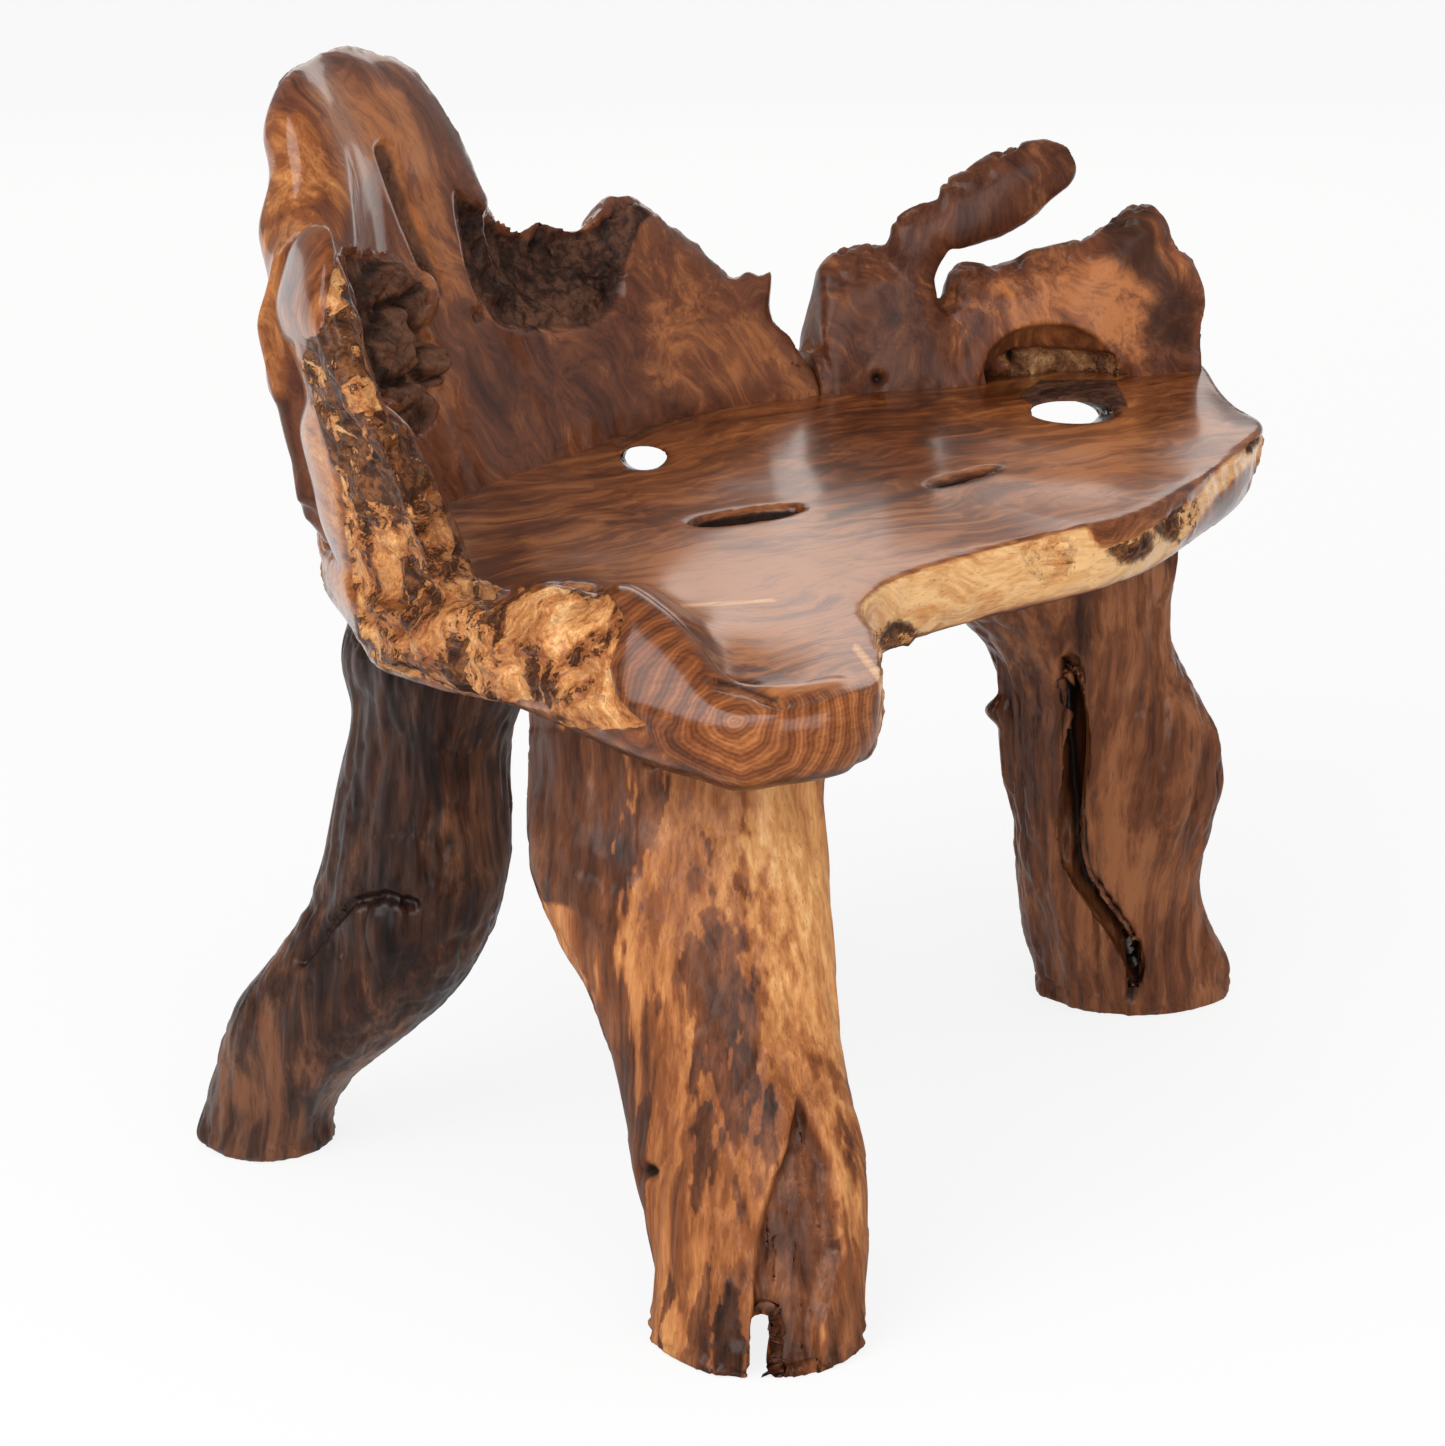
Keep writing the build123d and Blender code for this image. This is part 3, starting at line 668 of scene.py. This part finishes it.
# Painted shade: the slab's underside, its cracks and creases, the foot of the walls and the floors of the
# slots are darkened
under = ease(0.3, 0.8, -seat.normals[:, 2])
dark = 0.35 * under
dark = np.maximum(dark, 0.8 * stroke(seat.places, arm_crack, 7) * seat.facing)
dark = np.maximum(dark, 0.7 * stroke(seat.places, long_crack, 9))
dark = np.maximum(dark, 0.85 * stroke(seat.places, lip_crease_shade, 7) * seat.facing)
dark = np.maximum(dark, 0.8 * stroke(seat.places, wall_foot, 4) * top_face)
# Floors of the slots, darkened and made rough as painted shade
sunk = (
    ease(0.003, 0.008, seat_top - seat.points[:, 2]) * ease(0.022, 0.018, seat_top - seat.points[:, 2])
    * (1 - under) * patch(seat.places, slots_about, 10)
)
dark = np.maximum(dark, 0.75 * sunk)
seat.note("gold", gold)
seat.note("bark", bark)
seat.note("dark", dark)
hole_edge = patch(seat.places, large_hole_rim, 5)
# The rough mask also lays painted shade of dark rough tone on the underside and the slot floors, beside the
# real rough rim of the large hole
seat.note("rough", np.maximum.reduce([0.5 * under, hole_edge, sunk]))
seat.note("warm", np.maximum.reduce([
    # Painted sheen on the arm's outer face
    0.70 * arm_side,
    lower_strip,
    front_edge * (1 - top_face),
    # Front of the top: partly lighter wood, partly a painted sheen where the top shows its reflection haze
    0.8 * patch(seat.places, front_of_top, 40) * top_face,
    0.35 * patch(seat.places, warm_corner, 40) * top_face,
]))
seat.note("ring", scroll)


# Left back wall: tall lobe, bark pocket, rough hollow and panel

rough_hollow = (
    (458, 195), (478, 205), (505, 232), (520, 236), (532, 240), (545, 220), (551, 232),
    (600, 224), (615, 198), (642, 200), (652, 213), (640, 225), (628, 255), (622, 300),
    (612, 315), (595, 325), (530, 330), (500, 318), (480, 292), (468, 255),
)
bark_pocket = (
    (346, 252), (372, 258), (395, 265), (412, 290), (422, 335), (445, 350), (447, 380),
    (425, 392), (440, 405), (432, 425), (410, 442), (398, 415), (383, 397), (373, 382),
    (366, 330), (356, 290),
)
lobe_gold = (
    (230, 96), (300, 105), (322, 130), (338, 165), (352, 200), (348, 240), (335, 250),
    (325, 205), (300, 215), (240, 235), (230, 130),
)
petal_gold = ((245, 240), (300, 200), (322, 208), (345, 240), (290, 250), (288, 400), (262, 398), (248, 330))
petal_dark = ((255, 397), (290, 400), (305, 480), (315, 530), (290, 500), (268, 440))
lobe_fissure = ((385, 150), (397, 185), (410, 220), (425, 255), (440, 292))
hollow_pit = (481, 316)
pocket_foot = (420, 415)
pocket_bulbs = (
    ((392, 342), 19, 40), ((431, 362), 14, 16), ((388, 282), 22, 22), ((418, 300), 12, 30),
    ((396, 398), 14, 15),
)
bulb_height = 0.015
panel_warm = ((640, 230), (700, 270), (770, 330), (790, 390), (640, 400))
lobe_warm = (
    (300, 90), (345, 70), (400, 90), (440, 160), (470, 300), (430, 290), (380, 160), (345, 215),
    (320, 120),
)

# Pulls of the left wall's form
silhouette_pull = (34, (
    (275, 330, 257, 330), (280, 380, 263, 385), (283, 430, 273, 422), (290, 500, 288, 475),
    (300, 562, 302, 512), (250, 180, 262, 175), (265, 230, 262, 230), (420, 300, 420, 300),
    (380, 240, 380, 240), (480, 240, 480, 240),
))
crest_pull = (14, (
    (540, 238, 541, 222), (520, 236, 518, 240), (560, 237, 558, 236), (752, 283, 750, 268),
    (772, 300, 775, 266), (735, 274, 732, 276), (782, 318, 772, 312), (790, 345, 786, 340),
    (797, 384, 800, 363), (780, 385, 782, 372), (745, 310, 745, 308),
))

wall_left = Skin("wall_left", "back_root_left", wall_left_cell, 8, reaches(seat_top, -1, wall_rooting))
for reach, pairs in (silhouette_pull, crest_pull):
    pull(wall_left, reach, pairs)
hollow = patch(wall_left.places, rough_hollow, 8) * wall_left.facing
pocket = patch(wall_left.places, bark_pocket, 6) * wall_left.facing
fissure = stroke(wall_left.places, lobe_fissure, 13) * wall_left.facing
pit = spot(wall_left.places, hollow_pit, 11) * wall_left.facing
back_face = 1 - wall_left.facing
flow = ridges(stretched(wall_left.points, (0.86, 0.45, 0.1), 0.22), 0.016, 33, 3)
relief = hollow * (crusty(wall_left.points, (0.5, 0.3, 0.8), 31) - 0.003 * flow - 0.003)
relief += pocket * (crusty(wall_left.points, (0, 0, 1), 37) * 1.8)
# Rims of painted shade round the bulbs, to show their relief
bulb_shade_rims = 0 * relief
for middle, half_width, half_height in pocket_bulbs:
    dome, rim = bulb(wall_left.places, middle, half_width, half_height)
    relief += bulb_height * dome * wall_left.facing
    bulb_shade_rims = np.maximum(bulb_shade_rims, rim * pocket)
relief -= 0.007 * fissure + 0.006 * pit
upright_grain = stretched(wall_left.points, (0, 0, 1), 0.4)
relief += back_face * (
    0.006 * lumps(wall_left.points, 0.07, 41, 4) - 0.004 * ridges(upright_grain, 0.05, 43, 3)
)
crest = ease(0.3, 0.9, wall_left.normals[:, 2])
relief -= 0.0025 * crest * ridges(wall_left.points, 0.05, 47, 4) * ease(420, 470, wall_left.places[:, 0])
wall_left.move(relief)
rough = np.maximum.reduce([hollow, pocket, fissure * 0.9, pit, back_face * 0.35])
gold = np.maximum(patch(wall_left.places, lobe_gold, 16), patch(wall_left.places, petal_gold, 12)) * 0.70
warm = 0.55 * patch(wall_left.places, panel_warm, 30)
warm = np.maximum(warm, 0.9 * patch(wall_left.places, lobe_warm, 14))
warm = np.maximum(warm * (1 - hollow), 0.8 * pocket)
warm = np.maximum(warm, 0.5 * hollow * ease(275, 320, wall_left.places[:, 1]))
wall_left.note("warm", warm)
dark = np.maximum(
    0.5 * patch(wall_left.places, petal_dark, 5), 0.7 * spot(wall_left.places, pocket_foot, 20),
)
wall_left.note("gold", gold * (1 - pocket))
wall_left.note("bark", 0.30 * back_face)
wall_left.note("dark", np.maximum(dark, 0.8 * bulb_shade_rims))
wall_left.note("rough", rough)


# Right back wall: round lobe, horn and panel over the arched hollow

arch_hollow = (
    (1000, 358), (1020, 350), (1060, 350), (1110, 356), (1132, 372), (1138, 395), (1115, 418),
    (1100, 410), (1050, 407), (1035, 402), (1005, 378),
)
panel_gold = (
    (975, 290), (1010, 275), (1060, 270), (1110, 268), (1140, 300), (1130, 345), (1060, 352),
    (1000, 350), (985, 320),
)
stub_middle = (960, 290)
wall_holes = (((879, 380), 11), ((990, 381), 14), ((1004, 381), 10), ((1016, 359), 11))
lobe_patch_warm = ((820, 300), (850, 255), (890, 255), (880, 320))
lobe_shade = (
    (800, 240), (1000, 130), (1080, 140), (1060, 200), (950, 260), (950, 400), (800, 400),
)
panel_end_shade = (
    (1090, 215), (1150, 205), (1160, 250), (1200, 300), (1195, 350), (1140, 345), (1150, 290),
    (1110, 260),
)

# Pull of the right wall's form
horn_and_panel_pull = (22, (
    (842, 274, 825, 270), (862, 257, 850, 250), (882, 252, 878, 248), (904, 230, 900, 235),
    (908, 213, 901, 217), (924, 199, 934, 202), (950, 180, 948, 181), (940, 245, 950, 252),
    (950, 222, 957, 243), (975, 219, 985, 234), (1000, 217, 1005, 228), (1030, 208, 1032, 213),
    (1078, 155, 1067, 158), (1066, 141, 1056, 148), (948, 296, 941, 298), (965, 282, 955, 269),
    (1118, 212, 1131, 207), (1145, 232, 1152, 222), (1160, 262, 1160, 249), (1172, 275, 1180, 258),
    (1186, 300, 1198, 300), (1190, 335, 1191, 335), (1020, 260, 1020, 260), (1070, 240, 1070, 238),
    (812, 380, 806, 362), (816, 340, 810, 335),
))

wall_right = Skin(
    "wall_right", "back_root_right", wall_right_cell, 6, reaches(seat_top, -1, wall_rooting),
)
pull(wall_right, *horn_and_panel_pull)
arch = patch(wall_right.places, arch_hollow, 6) * wall_right.facing
stub = spot(wall_right.places, stub_middle, 26) * wall_right.facing
holes = np.maximum.reduce([
    spot(wall_right.places, middle, reach) for middle, reach in wall_holes
]) * wall_right.facing
back_face = 1 - wall_right.facing
crest = ease(0.2, 0.8, wall_right.normals[:, 2])
relief = arch * crusty(wall_right.points, (1, 0, 0.2), 53) * 1.6 - 0.010 * holes
relief += stub * crusty(wall_right.points, (0, 0, 1), 57)
relief -= crest * (0.004 * ridges(wall_right.points, 0.03, 59, 4))
relief += 0.003 * lumps(wall_right.points, 0.05, 61, 4) * (1 - 0.7 * wall_right.facing)
wall_right.move(relief)
wall_right.note("gold", 0 * arch)
wall_right.note("warm", np.maximum.reduce([
    # Painted light: the arched hollow's tone is lifted to offset its shadow
    0.8 * arch,
    patch(wall_right.places, panel_gold, 30),
    0.35 * patch(wall_right.places, lobe_patch_warm, 15),
]))
wall_right.note("bark", 0.62 * arch + 0.3 * back_face)
# Painted shade: the holes are darkened inside, beside the shaded lobe and the shaded end of the panel
wall_right.note("dark", np.maximum.reduce([
    holes,
    0.33 * patch(wall_right.places, lobe_shade, 10),
    0.62 * patch(wall_right.places, panel_end_shade, 12),
]))
wall_right.note("rough", np.maximum.reduce([0.55 * arch, 0.6 * stub, crest * 0.30, back_face * 0.35]))


# Legs, each with its own grooves, knots and stains, and painted shade in their slits, creases and flutes

def leg_skin(name, seed, flute, crust_depth):
    """A leg's skin with long flutes down the grain; gives the skin and its grooves."""
    leg = Skin(
        "leg_" + name + "_skin", "leg_" + name, leg_cell, 5, reaches(seat_underside, 1, leg_rooting),
    )
    drawn = stretched(leg.points, (0, 0, 1), 0.16)
    grooves = ridges(drawn, 0.035, seed, 4)
    side = 1 - np.abs(leg.normals[:, 2])
    relief = -flute * grooves * side + 0.0035 * lumps(drawn, 0.060, seed + 3, 3) * side
    relief -= crust_depth * ease(0.1, 0.4, lumps(leg.points, 0.05, seed + 7, 4)) * side
    relief -= flute * 0.5 * ridges(stretched(leg.points, (0, 0, 1), 0.10), 0.012, seed + 15, 2) * side
    toes = ease(0.030, 0.0, leg.points[:, 2])
    relief += toes * (0.004 - 0.006 * ridges(leg.points, 0.03, seed + 11, 3)) * side
    leg.move(relief)
    lowest = np.min(leg.points[:, 2])
    leg.move(np.outer(ease(0.050, 0.0, leg.points[:, 2]), (0, 0, -lowest)))
    return leg, grooves


def dress_leg(leg, gold, bark, dark, rough):
    """Presses a leg's foot flat on the floor and keeps its masks."""
    leg.move(np.outer(np.maximum(0, -leg.points[:, 2]), (0, 0, 1)))
    leg.note("gold", gold)
    leg.note("bark", bark)
    leg.note("dark", dark)
    leg.note("rough", rough)


legs = {}

# Front left leg: golden, with a dark strip, a dark toe and two scars
bark_strip = (
    (520, 728), (578, 732), (592, 790), (600, 850), (604, 945), (575, 905), (545, 900), (525, 860),
)
dark_toe = (
    (776, 1182), (790, 1150), (800, 1100), (830, 1160), (838, 1250), (818, 1330), (830, 1380),
    (757, 1380), (757, 1242),
)
upper_scar = (651, 757)
lower_scar = (648, 1172)

leg, grooves = leg_skin("front_left", 71, 0.0024, 0.0012)
strip = patch(leg.places, bark_strip, 5) * leg.facing
toe = patch(leg.places, dark_toe, 5) * leg.facing
scars = np.maximum(spot(leg.places, upper_scar, 14), spot(leg.places, lower_scar, 14)) * leg.facing
leg.move(-0.010 * toe - 0.008 * scars + 0.002 * strip)
streaks = ease(0.00, 0.24, lumps(stretched(leg.points, (0, 0, 1), 0.10), 0.030, 73, 5, 0.6))
bright = lumps(stretched(leg.points, (0, 0, 1), 0.15), 0.08, 75, 3)
streak_share = 0.62 - 0.38 * ease(690, 780, leg.places[:, 0])
streak_share += 0.15 * ease(1000, 1200, leg.places[:, 1])
lines = ease(0.10, 0.40, lumps(stretched(leg.points, (0, 0, 1), 0.05), 0.011, 79, 3))
gold = 0.90 + 0.25 * bright - streak_share * streaks * leg.facing - 0.22 * lines - 0.80 * strip - 0.80 * toe
gold -= 0.14 * ease(0.35, 0.1, leg.points[:, 2])
gold += 0.22 * ease(740, 790, leg.places[:, 0]) * ease(1100, 1000, leg.places[:, 1])
gold *= 1 - 0.25 * (1 - leg.facing)
dress_leg(
    leg, gold, 0.30 * (1 - strip) * (1 - toe), np.maximum.reduce([scars, 0.15 * toe, 0.35 * strip]),
    np.maximum(toe * 0.3, scars),
)
legs["front_left"] = leg

# Front right leg: brown, with a long slit and a knob
long_slit = (
    (1066, 665), (1070, 714), (1077, 821), (1083, 871), (1126, 929), (1138, 968), (1131, 996),
)
slit_top = ((1085, 600), (1080, 650), (1072, 690))
knob = (994, 710)

leg, grooves = leg_skin("front_right", 83, 0.0042, 0.0012)
slit = stroke(leg.places, long_slit, 12) * leg.facing
hollow_dark = stroke(leg.places, slit_top, 22) * leg.facing
leg.move(-0.006 * slit - 0.005 * hollow_dark + 0.012 * spot(leg.places, knob, 20))
# Painted shade: the slit, the hollow at its top and the flutes are darkened, and the flutes also lose warmth
# and gold and take the dark rough tone
leg.note("warm", 0.55 - 0.2 * grooves)
dress_leg(
    leg, 0.15 * (1 - grooves), 0 * grooves,
    np.maximum.reduce([slit, 0.6 * hollow_dark, 0.20 * grooves]), 0.1 * grooves,
)
legs["front_right"] = leg

# Rear left leg: dark, with a ringed knot and a crease over a swelling
upper_pull = (30, (
    (336, 640, 346, 640), (338, 700, 344, 700), (500, 700, 500, 700), (338, 780, 337, 780),
    (420, 660, 420, 660),
))
knot_middle = (450, 845)
knot_shape = (1.0, 1.35)
ring_spacing = 5.5
crease_line = ((300, 962), (330, 925), (350, 903), (385, 896), (415, 905))
swelling = (385, 935)

leg, grooves = leg_skin("rear_left", 97, 0.0036, 0.0010)
pull(leg, *upper_pull)
knot = np.linalg.norm((leg.places - np.array(knot_middle)) / np.array(knot_shape), axis=1)
knot_rings = 0.5 + 0.5 * np.cos(knot / ring_spacing)
knot_face = ease(40, 22, knot) * leg.facing
eye_crease = stroke(leg.places, crease_line, 8) * leg.facing
leg.move(
    -0.0040 * knot_rings * knot_face - 0.007 * eye_crease
    + 0.006 * spot(leg.places, swelling, 45) * leg.facing
)
warm = np.maximum(0.8 * ease(980, 1080, leg.places[:, 1]), 0.5 * ease(455, 500, leg.places[:, 0]))
leg.note("warm", np.maximum(warm, 0.5 * knot_face) * leg.facing)
# Painted shade: the crease and the flutes are darkened, the flutes with the dark rough tone
dress_leg(
    leg, 0 * knot, 0 * knot, np.maximum(0.8 * eye_crease, 0.75 * knot_rings * knot_face),
    0.15 * grooves,
)
legs["rear_left"] = leg

# Rear right leg: plain
leg, grooves = leg_skin("rear_right", 109, 0.0024, 0.0008)
# Painted shade: the flutes are darkened and take the dark rough tone
dress_leg(leg, 0.1 * grooves, 0 * grooves, 0.3 * grooves, 0.2 * grooves)
legs["rear_right"] = leg


# Grain of each piece, and the axis of the rings on the lip's cut end
scroll_heart = (-0.420, -0.285, 0.445)
scroll_way = (-0.66, -0.72, 0.20)
level_grain = (0, 0, math.radians(-4))
wall_grain = (0, math.radians(55), math.radians(20))
leg_grain = (0, math.radians(90), 0)
seat_finish = teak("seat_finish", chestnut, level_grain, gloss=0.24, rings=(scroll_heart, scroll_way))
wall_finish = teak("wall_finish", plum_brown, wall_grain, figure=1.3, contrast=0.65)
satin_finish = teak(
    "satin_wall_finish", plum_brown, wall_grain, figure=1.3, contrast=0.8, gloss=0.34, coat=0.30,
)
golden_finish = teak("golden_leg_finish", brown_root, leg_grain, bend=0.03, gloss=0.38, depth=3.0, coat=0.35)
brown_finish = teak("brown_leg_finish", brown_root, leg_grain, bend=0.07, gloss=0.34, depth=3.0, coat=0.4)
dark_finish = teak("dark_leg_finish", dark_root, leg_grain, bend=0.07, gloss=0.36, depth=3.0, coat=0.35)
peg_finish = teak("peg_finish", brown_root, leg_grain, bend=0.01, gloss=0.5, coat=0.0)
screw_finish = steel("screw_finish")
for name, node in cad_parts.items():
    if name.startswith("dowels") or name.startswith("screw"):
        node.data.materials.clear()
        node.data.materials.append(peg_finish if name.startswith("dowels") else screw_finish)
seat.place(seat_finish, "seat_wood")
wall_left.place(wall_finish, "polished_root")
wall_right.place(satin_finish, "polished_root")
legs["front_left"].place(golden_finish, "golden_leg")
legs["front_right"].place(brown_finish, "brown_leg")
legs["rear_left"].place(dark_finish, "dark_leg")
legs["rear_right"].place(brown_finish, "brown_leg")


# Floor, background and light

floor_size = 60
floor_seen_glow = 0.84
floor_mirrored_glow = 0.9
floor_dim = 0.2
floor_dim_front = -0.4
floor_dim_back = 0.6
sky_for_light = 0.70
sky_mirrored = 0.25
sky_seen = 1.0


def plate(name, size, material):
    """A level square for the floor."""
    mesh = bpy.data.meshes.new(name)
    half = size / 2
    mesh.from_pydata(
        [(-half, -half, 0), (half, -half, 0), (half, half, 0), (-half, half, 0)], [], [(0, 1, 2, 3)],
    )
    mesh.materials.append(material)
    floor = bpy.data.objects.new(name, mesh)
    bpy.context.scene.collection.objects.link(floor)
    return floor


def floor_finish():
    """Pale floor that the camera sees as nearly white, with the shadow kept."""
    finish = Finish("floor_finish")
    seen = finish.node("LightPath", output="Is Camera Ray")
    mirrored = finish.node("LightPath", output="Is Glossy Ray")
    finish.shader.inputs["Base Color"].default_value = (0.90, 0.90, 0.90, 1)
    finish.shader.inputs["Roughness"].default_value = 0.9
    finish.shader.inputs["Specular IOR Level"].default_value = 0.0
    glow = finish.node("Emission", None, {"Color": (1, 1, 1), "Strength": 1.0})
    dim = finish.node("Emission", None, {"Color": (1, 1, 1), "Strength": floor_dim})
    depth = finish.node("SeparateXYZ", None, {"Vector": finish.position()}, output="Y")
    behind = depth.between(floor_dim_front, floor_dim_back)
    sweep = finish.node("MixShader", None, {0: behind, 1: dim, 2: glow})
    shaded = Socket(finish, finish.shader.outputs[0])
    mixed = finish.node("MixShader", None, {0: seen * floor_seen_glow, 1: shaded, 2: glow})
    mixed = finish.node("MixShader", None, {0: mirrored * floor_mirrored_glow, 1: mixed, 2: sweep})
    finish.feed(finish.tree.nodes["Material Output"].inputs["Surface"], mixed)
    return finish.material


def lamp(name, place, aim, size, power, colour=(1, 1, 1)):
    """A soft box that faces a point."""
    light = bpy.data.lights.new(name, "AREA")
    light.shape = "RECTANGLE"
    light.size, light.size_y = size
    light.energy = power
    light.color = colour
    holder = bpy.data.objects.new(name, light)
    holder.location = place
    holder.rotation_mode = "QUATERNION"
    holder.rotation_quaternion = (Vector(aim) - Vector(place)).to_track_quat("-Z", "Y")
    bpy.context.scene.collection.objects.link(holder)


floor = plate("floor", floor_size, floor_finish())

world = bpy.data.worlds.new("studio")
bpy.context.scene.world = world
world.use_nodes = True
nodes = world.node_tree.nodes
links = world.node_tree.links
ray = nodes.new("ShaderNodeLightPath")
plain = nodes["Background"]


def sky(strength):
    """White surroundings of a given strength."""
    made = nodes.new("ShaderNodeBackground")
    made.inputs["Color"].default_value = (1, 1, 1, 1)
    made.inputs["Strength"].default_value = strength
    return made


def chosen(share, first, second):
    """Mixes two surroundings by a share."""
    made = nodes.new("ShaderNodeMixShader")
    links.new(share, made.inputs[0])
    links.new(first.outputs[0], made.inputs[1])
    links.new(second.outputs[0], made.inputs[2])
    return made


around = chosen(ray.outputs["Is Glossy Ray"], sky(sky_for_light), sky(sky_mirrored))
around = chosen(ray.outputs["Is Camera Ray"], around, sky(sky_seen))
nodes.remove(plain)
links.new(around.outputs[0], nodes["World Output"].inputs["Surface"])

middle = (0, 0, 0.4)
lamp("key", (-3.0, -0.6, 2.4), middle, (2.6, 2.6), 70)
lamp("fill", (-1.6, -3.5, 1.5), middle, (3.0, 2.4), 45)
lamp("back", (2.6, 3.4, 1.9), middle, (3.4, 1.6), 18, (1.0, 0.89, 0.82))

camera = bpy.data.objects.new("camera", bpy.data.cameras.new("camera"))
camera.data.sensor_width = sensor_width
camera.data.lens = focal_pixels * sensor_width / image_height
camera.location = camera_place
camera.rotation_mode = "QUATERNION"
camera.rotation_quaternion = (-camera_back).to_track_quat("-Z", "Y")
camera.data.clip_end = 100
bpy.context.scene.collection.objects.link(camera)
bpy.context.scene.camera = camera
bpy.context.scene.view_settings.view_transform = "Standard"
